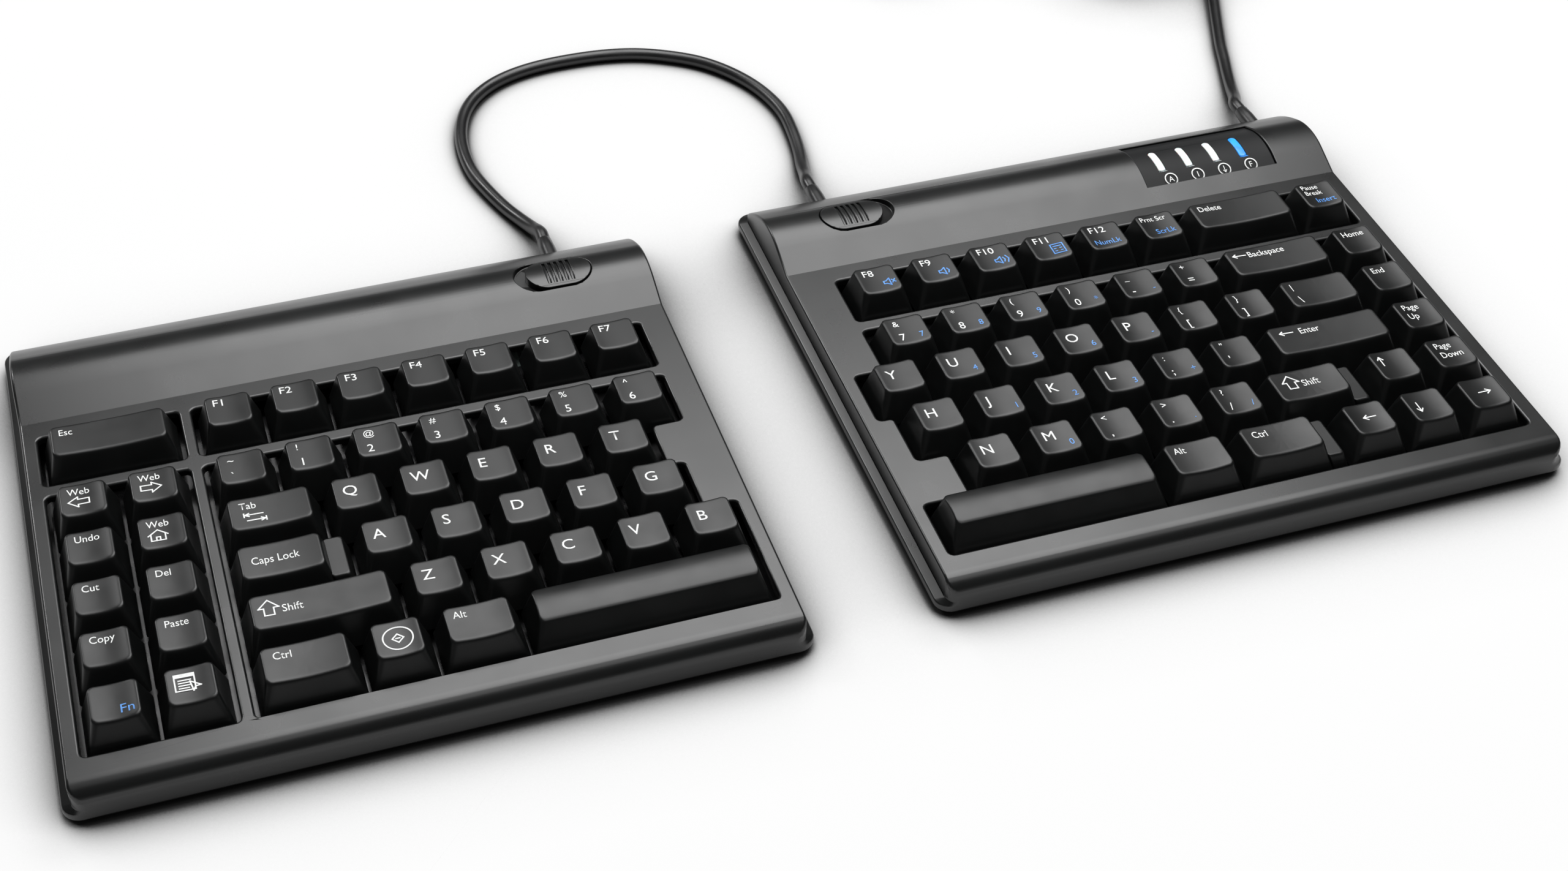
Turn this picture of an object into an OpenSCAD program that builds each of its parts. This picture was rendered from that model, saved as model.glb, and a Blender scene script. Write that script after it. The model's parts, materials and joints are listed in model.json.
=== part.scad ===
// Ergonomic split keyboard in two halves, millimetres.
// The origin is on the desk, midway between the halves' outer sides and between their front and rear edges.
// +X points to the right along the rows, +Y to the rear, +Z up.

/* [Key layout] */
// Distance between the centres of neighbouring keys
key_pitch = 19.05; // [18.5:0.05:19.5]
// Extra space between the number row and the function row
function_row_gap = 6.2; // [5:0.1:8]
// Space between the command keys and the letter block
command_gap = 5.1; // [4.6:0.1:8]
// Space between the two halves, measured at their ledges
half_gap = 35.2; // [24:0.2:60]
// How far the right half stands behind the left half
right_setback = 1.5; // [0:0.1:6]

/* [Keys] */
// Gap between the skirts of neighbouring keys
key_gap = 0.9; // [0.7:0.05:1.2]
// Height of a key's rim above the deck
key_rise = 6.2; // [5.8:0.1:7.5]
// Distance that a key travels
key_travel = 3.8; // [3:0.1:4]
// Inset of a key's top at each side
top_side_inset = 2.9; // [2:0.1:3.2]
// Inset of a key's top at the front
top_front_inset = 4.2; // [3:0.1:4.4]
// Inset of a space bar's top at the front
bar_front_inset = 5.6; // [5:0.1:6.2]
// Inset of a key's top at the rear
top_rear_inset = 1.6; // [1:0.1:2.5]
// Corner radius of a key's top
top_corner = 1.8; // [1.2:0.1:2.5]
// Corner radius of a key's skirt
skirt_corner = 1; // [0.6:0.1:1.6]
// Depth of the dish in a key's top
dish_depth = 0.55; // [0.3:0.05:0.8]
// Rise of a space bar's crown
crown_rise = 0.7; // [0.5:0.1:1.2]
// Wall of a key
key_wall = 1.3; // [1:0.05:1.4]
// Roof of a key under its dish or crown
key_roof = 1.45; // [1:0.05:1.8]
// Drop of the ledge on stepped keys
ledge_drop = 4; // [3:0.1:5]
// Diameter of the plunger under a key
plunger_d = 6.4; // [5.4:0.1:6.8]
// Clearance of a plunger in its guide, all round
plunger_clearance = 0.1; // [0.05:0.01:0.2]
// Wall of a plunger guide
guide_wall = 0.9; // [0.7:0.05:1.1]
// Gap between a plunger guide and the roof of a pressed key
guide_gap = 1; // [0.5:0.1:1.5]

/* [Case] */
// Height of the deck above the desk
deck_height = 13; // [12.6:0.1:15]
// Height of the joint between top and bottom cover
split_height = 6.5; // [6:0.1:7.5]
// Height of the ledge's lower edge
lip_height = 2.7; // [2.3:0.1:3.2]
// Height of the ledge's outer face
lip_face = 1.9; // [1.2:0.1:2.2]
// Height of the groove between the covers, along the sides and the rear
groove_height = 0.7; // [0.4:0.1:1]
// Depth of that groove
groove_depth = 0.6; // [0.3:0.1:0.8]
// Gap between the desk and the bottom cover
stand_height = 1; // [0.6:0.1:1.6]
// Wall of the covers
wall = 2.2; // [1.8:0.1:2.4]
// Floor of the bottom cover
floor_thickness = 1.6; // [1.4:0.1:2]
// Space between a key's cell and the edge of its well
well_gap = 0.8; // [0.5:0.05:1.2]
// Corner radius of the key wells
well_corner = 1.6; // [0.8:0.1:2.2]
// Deck beside the wells
side_margin = 4.5; // [3.6:0.1:8]
// Deck beside the navigation keys
end_margin = 5.4; // [3.6:0.1:8]
// Deck in front of the wells
front_margin = 5.8; // [5.4:0.1:9]
// Deck between the function keys and the hump
rear_margin = 6.7; // [5:0.1:10]
// Radius of the rounded front edge
nose_radius = 5.6; // [3.4:0.1:5.7]
// Width of the ledge along the sides
ledge = 2.6; // [1.6:0.1:3.2]
// Undercut below the ledge
undercut = 1.6; // [1:0.1:2.4]
// Corner radius of the case in plan
case_corner = 3.6; // [3:0.1:6]
// Corner radius of the ledge in plan
lip_corner = 4.8; // [3:0.1:6.5]

/* [Hump] */
// Rise of the hump above the deck
hump_rise = 5.4; // [5:0.1:7]
// Slope of the hump's front, degrees
hump_angle = 22; // [18:0.5:26]
// Radius of the hump's top
hump_radius = 22; // [18:0.5:24]
// Slope where the hump's top meets its rear, degrees
tail_angle = 24; // [20:0.5:27]
// Length of the straight part behind the top
tail_flat = 2.5; // [1:0.1:4]
// Radius of the hump's rear
tail_radius = 46; // [42:0.5:52]

/* [Latches] */
// Width of the oval latch recess
recess_width = 14.4; // [12:0.1:15]
// Centre of the recess from the case's inner side
recess_inset = 29.9; // [26:0.1:36]
// Depth of the recess below the top of the hump
recess_depth = 2.4; // [2.2:0.1:3]
// Thickness of the recess's floor
recess_floor = 1.8; // [1.2:0.1:2]
// Length of the latch slider
slider_length = 20.4; // [18:0.1:21]
// Side clearance of the slider in its recess
slider_clearance = 0.4; // [0.2:0.05:0.6]
// Clearance at each end of the slider's travel
slider_end_clearance = 0.25; // [0.15:0.05:0.6]
// Travel of the latch slider
slider_travel = 3.5; // [2:0.1:3.6]
// Length of the slider's neck
neck_length = 8; // [6:0.1:9]
// Width of the slider's neck
neck_width = 5; // [4:0.1:7]
// Number of grooves across the slider
grip_count = 5; // [3:1:7]
// Distance between those grooves
grip_pitch = 1.85; // [1.4:0.05:2]
// Width of such a groove
grip_width = 0.9; // [0.6:0.05:1.1]

/* [Indicators] */
// Length of the indicator window
window_length = 47; // [42:0.5:52]
// Depth of the indicator window from front to rear
window_depth = 23; // [21:0.1:23.4]
// End of the window from the case's outer side
window_inset = 18.4; // [14:0.1:24]
// Front of the window from the foot of the hump
window_front = 6.7; // [6:0.1:7]
// Recess of the window below the cover
window_recess = 0.7; // [0.3:0.1:1]
// Clearance round the window
window_clearance = 0.15; // [0.1:0.05:0.3]
// Length of an indicator light
light_length = 10.5; // [8:0.1:12]
// Width of an indicator light
light_width = 2.6; // [2:0.1:4]
// Distance between indicator lights
light_pitch = 9.85; // [7:0.05:10.5]

/* [Inside] */
// Thickness of the steel base plate
plate_thickness = 0.8; // [0.5:0.1:1]
// Thickness of the contact membrane
membrane_thickness = 0.4; // [0.2:0.05:0.5]
// Thickness of the dome sheet
sheet_thickness = 0.5; // [0.3:0.05:0.6]
// Diameter of a dome at its foot
dome_d = 8; // [7.4:0.1:8.2]
// Height of a dome above its sheet
dome_height = 4.7; // [4.4:0.1:5]
// Thickness of the key frame
frame_thickness = 1.2; // [1:0.1:1.4]
// Thickness of a circuit board
board_thickness = 1.6; // [1:0.1:2]
// Height of the board posts above the floor
post_height = 3.4; // [2.6:0.1:4]

/* [Feet and screws] */
// Diameter of a rubber foot
foot_d = 12; // [8:0.1:14]
// Depth of the recess that holds a foot
foot_recess = 0.6; // [0.4:0.1:0.8]
// Diameter of a screw's shank
screw_d = 2.4; // [2:0.1:2.8]
// Diameter of a screw's head
screw_head_d = 4.6; // [4:0.1:5]
// Height of a screw's head
screw_head_height = 1.6; // [1.2:0.1:1.8]
// Length of a screw below its head
screw_length = 7; // [5:0.1:7.4]
// Diameter of a screw boss
boss_d = 5.2; // [4.6:0.1:5.6]

/* [Cables] */
// Diameter of both cables
cord_d = 4.4; // [3.8:0.1:4.6]
// Diameter of the strain reliefs in the wall
relief_d = 5.2; // [4.8:0.1:5.6]
// How far a strain relief stands out of the wall
relief_length = 7.5; // [5:0.1:12]
// Link cable's exit from the case's inner side
link_exit = 25.5; // [20:0.1:30]
// Lead's exit from the case's outer side
lead_exit = 8.6; // [7.2:0.1:12]
// Outer radius of the coiled lead, at the middle of the cord
coil_radius = 30; // [29:0.1:36]
// Step between neighbouring loops and layers
coil_step = 5.5; // [5.4:0.05:6]
// Loops wound in each layer, without the climbs
coil_loops = 2.225; // [1.725:0.25:2.225]
// Thickness of the tie round the coil
tie_thickness = 1; // [0.8:0.1:1.4]
// Width of the tie
tie_width = 8; // [5:0.5:10]
// Length of the plug's body
plug_length = 32; // [24:0.5:40]
// Width of the plug's body
plug_width = 15.5; // [14:0.1:18]
// Height of the plug's body
plug_height = 9; // [8:0.1:10]
// Length of the plug's metal shell
shell_length = 12; // [11:0.1:13]
// Width of the plug's metal shell
shell_width = 12; // [11.5:0.1:12.5]
// Height of the plug's metal shell
shell_height = 4.5; // [4.3:0.1:4.7]

/* [Hidden] */
$fn = 48;
touch_clearance = 0.1;
end_clearance = 0.3;
case_colour = "#333538";
key_colour = "#3a3c40";

// Each key: centre in pitches from the letter block's left edge, row (-1 is the function row), width in pitches and,
// on a stepped key, the width of its raised part. Negative centres lie in the command columns.
KEYS = [
  ["escape_key", 0, [[-1, -1, 2]]],
  ["left_function_keys", 0, [for (i = [0:6]) [i + 0.5, -1, 1]]],
  ["outer_command_keys", 0, [for (i = [0:4]) [-1.5, i, 1]]],
  ["inner_command_keys", 0, [for (i = [0:4]) [-0.5, i, 1]]],
  ["left_number_keys", 0, [for (i = [0:6]) [i + 0.5, 0, 1]]],
  ["tab_key", 0, [[0.75, 1, 1.5]]],
  ["left_upper_letter_keys", 0, [for (i = [0:4]) [i + 2, 1, 1]]],
  ["caps_lock_key", 0, [[0.875, 2, 1.75, 1.5]]],
  ["left_home_letter_keys", 0, [for (i = [0:4]) [i + 2.25, 2, 1]]],
  ["left_shift_key", 0, [[1.125, 3, 2.25]]],
  ["left_lower_letter_keys", 0, [for (i = [0:4]) [i + 2.75, 3, 1]]],
  ["left_control_key", 0, [[0.75, 4, 1.5]]],
  ["system_key", 0, [[2, 4, 1]]],
  ["left_alt_key", 0, [[3.125, 4, 1.25]]],
  ["left_space_bar", 0, [[5.5, 4, 3.5]]],
  ["right_function_keys", 1, [for (i = [0:5]) [i + 1, -1, 1]]],
  ["delete_key", 1, [[7.5, -1, 2]]],
  ["pause_key", 1, [[9, -1, 1]]],
  ["right_number_keys", 1, [for (i = [0:5]) [i + 1, 0, 1]]],
  ["backspace_key", 1, [[7.5, 0, 2]]],
  ["right_upper_letter_keys", 1, [for (i = [0:6]) [i + 0.5, 1, 1]]],
  ["backslash_key", 1, [[7.75, 1, 1.5]]],
  ["right_home_letter_keys", 1, [for (i = [0:5]) [i + 0.75, 2, 1]]],
  ["enter_key", 1, [[7.375, 2, 2.25]]],
  ["right_lower_letter_keys", 1, [for (i = [0:4]) [i + 1.25, 3, 1]]],
  ["right_shift_key", 1, [[6.625, 3, 1.75, 1.5]]],
  ["right_space_bar", 1, [[1.75, 4, 3.5]]],
  ["right_alt_key", 1, [[4.125, 4, 1.25]]],
  ["right_control_key", 1, [[5.625, 4, 1.75, 1.5]]],
  ["navigation_keys", 1, [for (i = [0:3]) [9, i, 1]]],
  ["arrow_keys", 1, [[8, 3, 1], [7, 4, 1], [8, 4, 1], [9, 4, 1]]]
];

// Layout of one half: 0 is the left half, 1 the right half.
main_rows = 5;
function key_x(u) = u < 0 ? u * key_pitch - command_gap : u * key_pitch;
function key_y(row) = row < 0 ? key_pitch + function_row_gap : -row * key_pitch;
function cell_left(h) = h == 0 ? -2 * key_pitch - command_gap : 0;
function cell_right(h) = (h == 0 ? 7.25 : 9.5) * key_pitch;
function deck_left(h) = cell_left(h) - well_gap - side_margin;
function deck_right(h) = cell_right(h) + well_gap + (h == 0 ? side_margin : end_margin);
function inner_sign(h) = h == 0 ? 1 : -1;
function inner_x(h, d) = h == 0 ? deck_right(0) - d : deck_left(1) + d;
function outer_x(h, d) = h == 0 ? deck_left(0) + d : deck_right(1) - d;
function half_keys(h) = [for (k = KEYS) if (k[1] == h) each k[2]];

// A space bar's front slopes back further than a key's, and its plunger stands further back with it.
function is_bar(k) = k[2] > 3;
function front_inset(k) = is_bar(k) ? bar_front_inset : top_front_inset;
function stem_y(k) = front_inset(k) - top_front_inset;
function stem_points(h) = [for (k = half_keys(h)) [key_x(k[0]), key_y(k[1]) + stem_y(k)]];

// Heights of the stack, from the desk upwards
floor_top = stand_height + floor_thickness;
plate_top = floor_top + plate_thickness;
membrane_top = plate_top + membrane_thickness;
sheet_top = membrane_top + sheet_thickness;
frame_top = sheet_top + frame_thickness;
dome_top = sheet_top + dome_height;
skirt_z = frame_top + key_travel + end_clearance;
key_top = deck_height + key_rise;
key_ceiling = key_top - dish_depth - key_roof;
bar_ceiling = key_top - crown_rise - key_roof;
guide_top = bar_ceiling - key_travel - guide_gap;
chamber_r = dome_d / 2 + end_clearance;
chamber_top = dome_top + end_clearance;
board_low = floor_top + post_height;
board_top = board_low + board_thickness;

// Plan and profile of the case
front_y = -(main_rows - 0.5) * key_pitch - well_gap - front_margin - nose_radius;
crease_y = key_y(-1) + key_pitch / 2 + well_gap + rear_margin;
apex_z = deck_height + hump_rise;
slope_run = (hump_rise - hump_radius * (1 - cos(hump_angle))) / tan(hump_angle);
apex_y = crease_y + slope_run + hump_radius * sin(hump_angle);
tail_y0 = apex_y + hump_radius * sin(tail_angle) + tail_flat * cos(tail_angle);
tail_z0 = apex_z - hump_radius * (1 - cos(tail_angle)) - tail_flat * sin(tail_angle);
tail_cy = tail_y0 - tail_radius * sin(tail_angle);
tail_cz = tail_z0 - tail_radius * cos(tail_angle);
function tail_y(z, inset) = tail_cy + sqrt(pow(tail_radius - inset, 2) - pow(z - tail_cz, 2));
function tail_z(y, inset) = tail_cz + sqrt(pow(tail_radius - inset, 2) - pow(y - tail_cy, 2));
rear_y = tail_y(split_height, 0) + ledge;

total_width = deck_right(0) - deck_left(0) + deck_right(1) - deck_left(1) + 4 * ledge + half_gap;
function half_x(h) = h == 0 ? -total_width / 2 + ledge - deck_left(0) : total_width / 2 - ledge - deck_right(1);
function half_y(h) = -(front_y + rear_y + right_setback) / 2 + h * right_setback;
module place(h) {
  translate([half_x(h), half_y(h), 0]) children();
}

// Rounded outlines, lofts and swept tubes
function rect(x0, x1, y0, y1) = [[x0, y0], [x1, y0], [x1, y1], [x0, y1]];
function unit(v) = v / norm(v);
function turn(a) = a > 180 ? a - 360 : a < -180 ? a + 360 : a;
function fillet(a, b, c, r, n) =
  let (u = unit(a - b), v = unit(c - b), half = acos(max(-1, min(1, u * v))) / 2)
  let (t = min(r / tan(half), 0.49 * norm(a - b), 0.49 * norm(c - b)), rr = t * tan(half))
  let (m = b + unit(u + v) * rr / sin(half), p = b + u * t - m, q = b + v * t - m)
  let (a0 = atan2(p[1], p[0]), da = turn(atan2(q[1], q[0]) - a0))
  [for (i = [0:n]) m + rr * [cos(a0 + da * i / n), sin(a0 + da * i / n)]];
function rounded(pts, r, n) = let (k = len(pts))
  [for (i = [0:k - 1]) each fillet(pts[(i + k - 1) % k], pts[i], pts[(i + 1) % k], r, n)];
function lift(pts, z) = [for (p = pts) [p[0], p[1], z]];
function arc(cy, cz, r, a0, a1, n) =
  [for (i = [0:n]) let (a = a0 + (a1 - a0) * i / n) [cy + r * cos(a), cz + r * sin(a)]];

module loft(rings) {
  n = len(rings[0]);
  last = (len(rings) - 1) * n;
  sides = [for (k = [0:len(rings) - 2], i = [0:n - 1]) let (j = (i + 1) % n, a = k * n, b = a + n)
    each [[a + i, b + i, b + j], [a + i, b + j, a + j]]];
  polyhedron([for (r = rings) each r],
    concat(sides, [[for (i = [0:n - 1]) i]], [[for (i = [n - 1:-1:0]) last + i]]));
}

function tangent(path, i) = let (k = len(path) - 1) unit(path[min(i + 1, k)] - path[max(i - 1, 0)]);
function end_tangent(path, i) = let (k = len(path) - 1)
  i == 0 ? unit(path[1] - path[0]) : i == k ? unit(path[k] - path[k - 1]) : tangent(path, i);
function tube_rings(path, r, n) = [for (i = [0:len(path) - 1])
  let (t = end_tangent(path, i), u = unit(cross(t, [0, 0, 1])), v = cross(t, u))
  [for (j = [0:n - 1]) path[i] + r * (cos(360 * j / n) * u + sin(360 * j / n) * v)]];
function path_length(p, i = 1) = i >= len(p) ? 0 : norm(p[i] - p[i - 1]) + path_length(p, i + 1);

module across(x0, x1) {
  translate([x0, 0, 0]) rotate([90, 0, 90]) linear_extrude(x1 - x0) children();
}
module stadium(l, w) {
  square([l - w, w], center = true);
  for (s = [-1, 1]) translate([s * (l - w) / 2, 0]) circle(d = w);
}

// Key wells
function steps(h) = h == 0 ? [[0, 7], [1, 6.5], [2, 6.75], [3, 7.25]]
                           : [[0, 0.5], [1, 0], [2, 0.25], [3, 0.75], [4, 0]];
function step_y(h, i) = let (s = steps(h))
  i == 0 ? key_pitch / 2 + well_gap :
  i == len(s) ? -(main_rows - 0.5) * key_pitch - well_gap :
  -(s[i][0] - 0.5) * key_pitch + (inner_sign(h) * (s[i][1] - s[i - 1][1]) > 0 ? well_gap : -well_gap);
function stepped_side(h) = let (s = steps(h))
  [for (i = [0:len(s) - 1]) let (x = s[i][1] * key_pitch + inner_sign(h) * well_gap)
    each [[x, step_y(h, i)], [x, step_y(h, i + 1)]]];
main_top = step_y(0, 0);
main_low = step_y(0, len(steps(0)));
function main_well(h) = let (x = h == 0 ? -well_gap : cell_right(1) + well_gap)
  concat([[x, main_low], [x, main_top]], stepped_side(h));
function function_well(h) = let (y = key_y(-1), d = key_pitch / 2 + well_gap)
  h == 0 ? rect(-well_gap, 7 * key_pitch + well_gap, y - d, y + d)
         : rect(0.5 * key_pitch - well_gap, cell_right(1) + well_gap, y - d, y + d);
function command_well(y0, y1) = rect(cell_left(0) - well_gap, -command_gap + well_gap, y0, y1);
escape_well = command_well(key_y(-1) - key_pitch / 2 - well_gap, key_y(-1) + key_pitch / 2 + well_gap);
function wells(h) = concat([main_well(h), function_well(h)],
  h == 0 ? [command_well(main_low, main_top), escape_well] : []);

// Places that two or more pieces share
screw_inset = 14;
outer_screw_inset = 32;
inner_screw_inset = 42;
front_screw_y = front_y + wall + boss_d / 2 + 1.1;
rear_screw_y = rear_y - 10.3;
function middle_x(h) = (deck_left(h) + deck_right(h)) / 2;
function screw_points(h) = concat(
  [for (x = [deck_left(h) + screw_inset, middle_x(h), deck_right(h) - screw_inset]) [x, front_screw_y]],
  [for (x = [outer_x(h, outer_screw_inset), middle_x(h), inner_x(h, inner_screw_inset)]) [x, rear_screw_y]]);
pillar_top = floor_top + 1.8;
head_top = pillar_top - 1.5;
foot_inset = 16;
foot_rear_inset = 24;
function foot_points(h) = [for (x = [deck_left(h) + foot_inset, deck_right(h) - foot_inset],
                                y = [front_y + foot_inset, rear_y - foot_rear_inset]) [x, y]];
board_front = crease_y + 4;
board_depth = 20;
link_board_inset = 18;
link_board_length = 55;
controller_reach = [4, 3];
function board_x(h) = h == 0 ? [inner_x(0, link_board_inset + link_board_length), inner_x(0, link_board_inset)]
                             : [window_x0 - controller_reach[0], window_x1 + controller_reach[1]];
post_inset = 4;
function post_points(h) = [for (x = board_x(h) + [post_inset, -post_inset],
                                y = [board_front + post_inset, board_front + board_depth - post_inset]) [x, y]];
peg_d = 2.4;
membrane_tail = 24;
membrane_overlap = 6;
plate_front = main_low + 2.3;
plate_rear = key_y(-1) + key_pitch / 2;
function plate_outline(h) =
  rounded(rect(cell_left(h) - well_gap / 2, cell_right(h) + well_gap / 2, plate_front, plate_rear), 3, 4);
function exits(h) = h == 0 ? [inner_x(0, link_exit)] : [inner_x(1, link_exit), outer_x(1, lead_exit)];
window_x1 = outer_x(1, window_inset);
window_x0 = window_x1 - window_length;
window_y0 = crease_y + window_front;
window_flange = 1.2;
flange_reach = 2;
light_y = window_y0 + 10.2;
function light_x(i) = (window_x0 + window_x1) / 2 - 1 + (i - 1.5) * light_pitch;
recess_y = apex_y + 0.8;
recess_z = apex_z - recess_depth;
recess_length = slider_length + slider_travel + 2 * slider_end_clearance;
slider_width = recess_width - 2 * slider_clearance;
slider_plate = 1.2;
function recess_x(h) = inner_x(h, recess_inset);
function slider_x(h) = recess_x(h) + inner_sign(h) * (slider_travel / 2);

// Top cover: profile carried across the half, hollowed, with wells cut through its deck
function cover_outline(inset, low) = concat(
  [[front_y + inset, low]],
  arc(front_y + nose_radius, deck_height - nose_radius, nose_radius - inset, 180, 90, 8),
  [[crease_y + inset * tan(hump_angle / 2), deck_height - inset]],
  arc(apex_y, apex_z - hump_radius, hump_radius - inset, 90 + hump_angle, 90 - tail_angle, 16),
  arc(tail_cy, tail_cz, tail_radius - inset, 90 - tail_angle, asin((low - tail_cz) / (tail_radius - inset)), 10));
function case_plan(h, grow, y0, y1, r) = rounded(rect(deck_left(h) - grow, deck_right(h) + grow, y0, y1), r, 6);

bore_reach = 20;
module relief_bores(h) {
  for (x = exits(h)) translate([x, rear_y - bore_reach, split_height])
    rotate([-90, 0, 0]) cylinder(d = relief_d + 2 * touch_clearance, h = 2 * bore_reach);
}

module top_cover(h) {
  difference() {
    union() {
      intersection() {
        across(deck_left(h), deck_right(h)) polygon(cover_outline(0, split_height));
        linear_extrude(apex_z + 1) polygon(case_plan(h, 0, front_y, tail_y(split_height, 0), case_corner));
        union() {
          difference() {
            translate([deck_left(h) - 1, front_y - 1, 0])
              cube([deck_right(h) - deck_left(h) + 2, rear_y - front_y + 2, apex_z + 1]);
            across(deck_left(h) + wall, deck_right(h) - wall) polygon(cover_outline(wall, split_height - 1));
          }
          translate([recess_x(h), recess_y, recess_z - recess_floor]) linear_extrude(apex_z)
            stadium(recess_length + 3, recess_width + 3);
        }
      }
      for (p = screw_points(h)) translate([p[0], p[1], pillar_top])
        cylinder(d = boss_d, h = (p[1] < 0 ? deck_height - 0.7 : tail_z(p[1] + boss_d / 2, 0) - 0.3) - pillar_top);
    }
    translate([0, 0, deck_height - wall - 1]) linear_extrude(wall + 2)
      for (w = wells(h)) polygon(rounded(w, well_corner, 4));
    translate([recess_x(h), recess_y, recess_z]) linear_extrude(apex_z) stadium(recess_length, recess_width);
    translate([recess_x(h), recess_y, 0]) linear_extrude(apex_z)
      square([neck_length + slider_travel + 2 * end_clearance, neck_width + 2 * end_clearance], center = true);
    for (p = screw_points(h)) translate([p[0], p[1], pillar_top - 1])
      cylinder(d = screw_d + touch_clearance, h = head_top + screw_length + end_clearance - pillar_top + 1);
    relief_bores(h);
    if (h == 1) translate([window_x0, window_y0, board_top])
      cube([window_length, window_depth, apex_z]);
  }
}

// Bottom cover: tray with a sloping ledge, an undercut foot and a groove below the top cover
groove_z = split_height - groove_height;
module bottom_cover(h) {
  seam_y = tail_y(split_height, 0);
  difference() {
    union() {
      difference() {
        loft([
          lift(case_plan(h, ledge - undercut, front_y + undercut, rear_y - undercut, lip_corner), stand_height),
          lift(case_plan(h, ledge, front_y, rear_y, lip_corner), lip_height),
          lift(case_plan(h, ledge, front_y, rear_y, lip_corner), lip_height + lip_face),
          lift(case_plan(h, 0, front_y, seam_y, case_corner), groove_z),
          lift(case_plan(h, 0, front_y, seam_y, case_corner), split_height)]);
        translate([0, 0, groove_z]) linear_extrude(split_height) difference() {
          translate([deck_left(h) - ledge, front_y + case_corner])
            square([deck_right(h) - deck_left(h) + 2 * ledge, rear_y - front_y]);
          polygon(case_plan(h, -groove_depth, front_y, seam_y - groove_depth, case_corner - groove_depth));
        }
        translate([0, 0, floor_top]) linear_extrude(split_height)
          polygon(case_plan(h, -wall, front_y + wall, tail_y(split_height, wall), case_corner - wall));
      }
      for (p = screw_points(h)) translate([p[0], p[1], floor_top - 0.5])
        cylinder(d = boss_d + 0.8, h = pillar_top - floor_top + 0.5);
      for (p = post_points(h)) translate([p[0], p[1], floor_top - 0.5]) {
        cylinder(d = 5, h = post_height + 0.5);
        cylinder(d = peg_d, h = post_height + board_thickness + 1.1);
      }
    }
    for (p = screw_points(h)) translate([p[0], p[1], 0]) {
      cylinder(d = screw_head_d + 0.4, h = head_top);
      cylinder(d = screw_d + 2 * touch_clearance, h = split_height);
    }
    for (p = foot_points(h)) translate([p[0], p[1], 0])
      cylinder(d = foot_d + 2 * touch_clearance, h = stand_height + foot_recess);
    relief_bores(h);
  }
}

module base_plate(h) {
  translate([0, 0, floor_top]) linear_extrude(plate_thickness) polygon(plate_outline(h));
}

module membrane(h) {
  middle = (board_x(h)[0] + board_x(h)[1]) / 2;
  translate([0, 0, plate_top]) linear_extrude(membrane_thickness) {
    polygon(plate_outline(h));
    translate([middle - membrane_tail / 2, plate_rear - 1])
      square([membrane_tail, board_front + membrane_overlap - plate_rear]);
  }
}

module dome_sheet(h) {
  translate([0, 0, membrane_top]) linear_extrude(sheet_thickness) polygon(plate_outline(h));
  for (p = stem_points(h)) translate([p[0], p[1], membrane_top])
    cylinder(d1 = dome_d, d2 = 0.65 * dome_d, h = sheet_thickness + dome_height);
}

module key_frame(h) {
  guide_r = plunger_d / 2 + plunger_clearance;
  translate([0, 0, sheet_top]) linear_extrude(frame_thickness) difference() {
    polygon(plate_outline(h));
    for (p = stem_points(h)) translate(p) circle(r = chamber_r + guide_wall / 2);
  }
  for (p = stem_points(h)) translate(p) rotate_extrude() polygon([
    [chamber_r, sheet_top], [chamber_r + guide_wall, sheet_top], [chamber_r + guide_wall, chamber_top],
    [guide_r + guide_wall, chamber_top + guide_wall], [guide_r + guide_wall, guide_top], [guide_r, guide_top],
    [guide_r, chamber_top], [chamber_r, chamber_top]]);
}

module circuit_board(h) {
  x = board_x(h);
  translate([0, 0, board_low]) linear_extrude(board_thickness) difference() {
    translate([x[0], board_front]) square([x[1] - x[0], board_depth]);
    for (p = post_points(h)) translate(p) circle(d = peg_d + 2 * touch_clearance);
  }
  translate([x[0] + 12, board_front + 1.4, board_top - 0.1]) cube([9, 4, 2]);
  translate([x[0] + 24, board_front + 1.4, board_top - 0.1]) cube([6, 6, 1.1]);
}

// Latch: grooved button in the recess, a neck through the floor and a retaining plate below it
module latch_slider(h) {
  head_low = recess_z + touch_clearance;
  plate_z = recess_z - recess_floor - touch_clearance - slider_plate;
  translate([slider_x(h), 0, 0]) {
    difference() {
      intersection() {
        translate([0, recess_y, head_low]) linear_extrude(apex_z) stadium(slider_length, slider_width);
        across(-slider_length, slider_length) polygon(cover_outline(-0.3, split_height));
      }
      for (i = [0:grip_count - 1]) translate([(i - (grip_count - 1) / 2) * grip_pitch, recess_y, 0])
        across(-grip_width / 2, grip_width / 2) difference() {
          translate([-slider_width / 2 + 1.6, head_low]) square([slider_width - 3.2, apex_z]);
          translate([-recess_y, 0]) polygon(cover_outline(0.4, split_height));
        }
    }
    translate([-neck_length / 2, recess_y - neck_width / 2, plate_z + slider_plate / 2])
      cube([neck_length, neck_width, head_low + 0.3 - plate_z - slider_plate / 2]);
    translate([-neck_length / 2 - 4, recess_y - neck_width / 2 - 2.5, plate_z])
      cube([neck_length + 8, neck_width + 5, slider_plate]);
  }
}

// Indicator window: dark panel that follows the hump, with a flange under the cover
module hump_band(outer, inner, y0, y1) {
  intersection() {
    difference() {
      polygon(cover_outline(outer, split_height));
      polygon(cover_outline(inner, split_height - 1));
    }
    translate([y0, 0]) square([y1 - y0, apex_z + 1]);
  }
}

module light_outline(grow) {
  for (i = [0:3]) translate([light_x(i), light_y]) rotate(90)
    stadium(light_length + 2 * grow, light_width + 2 * grow);
}

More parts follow.
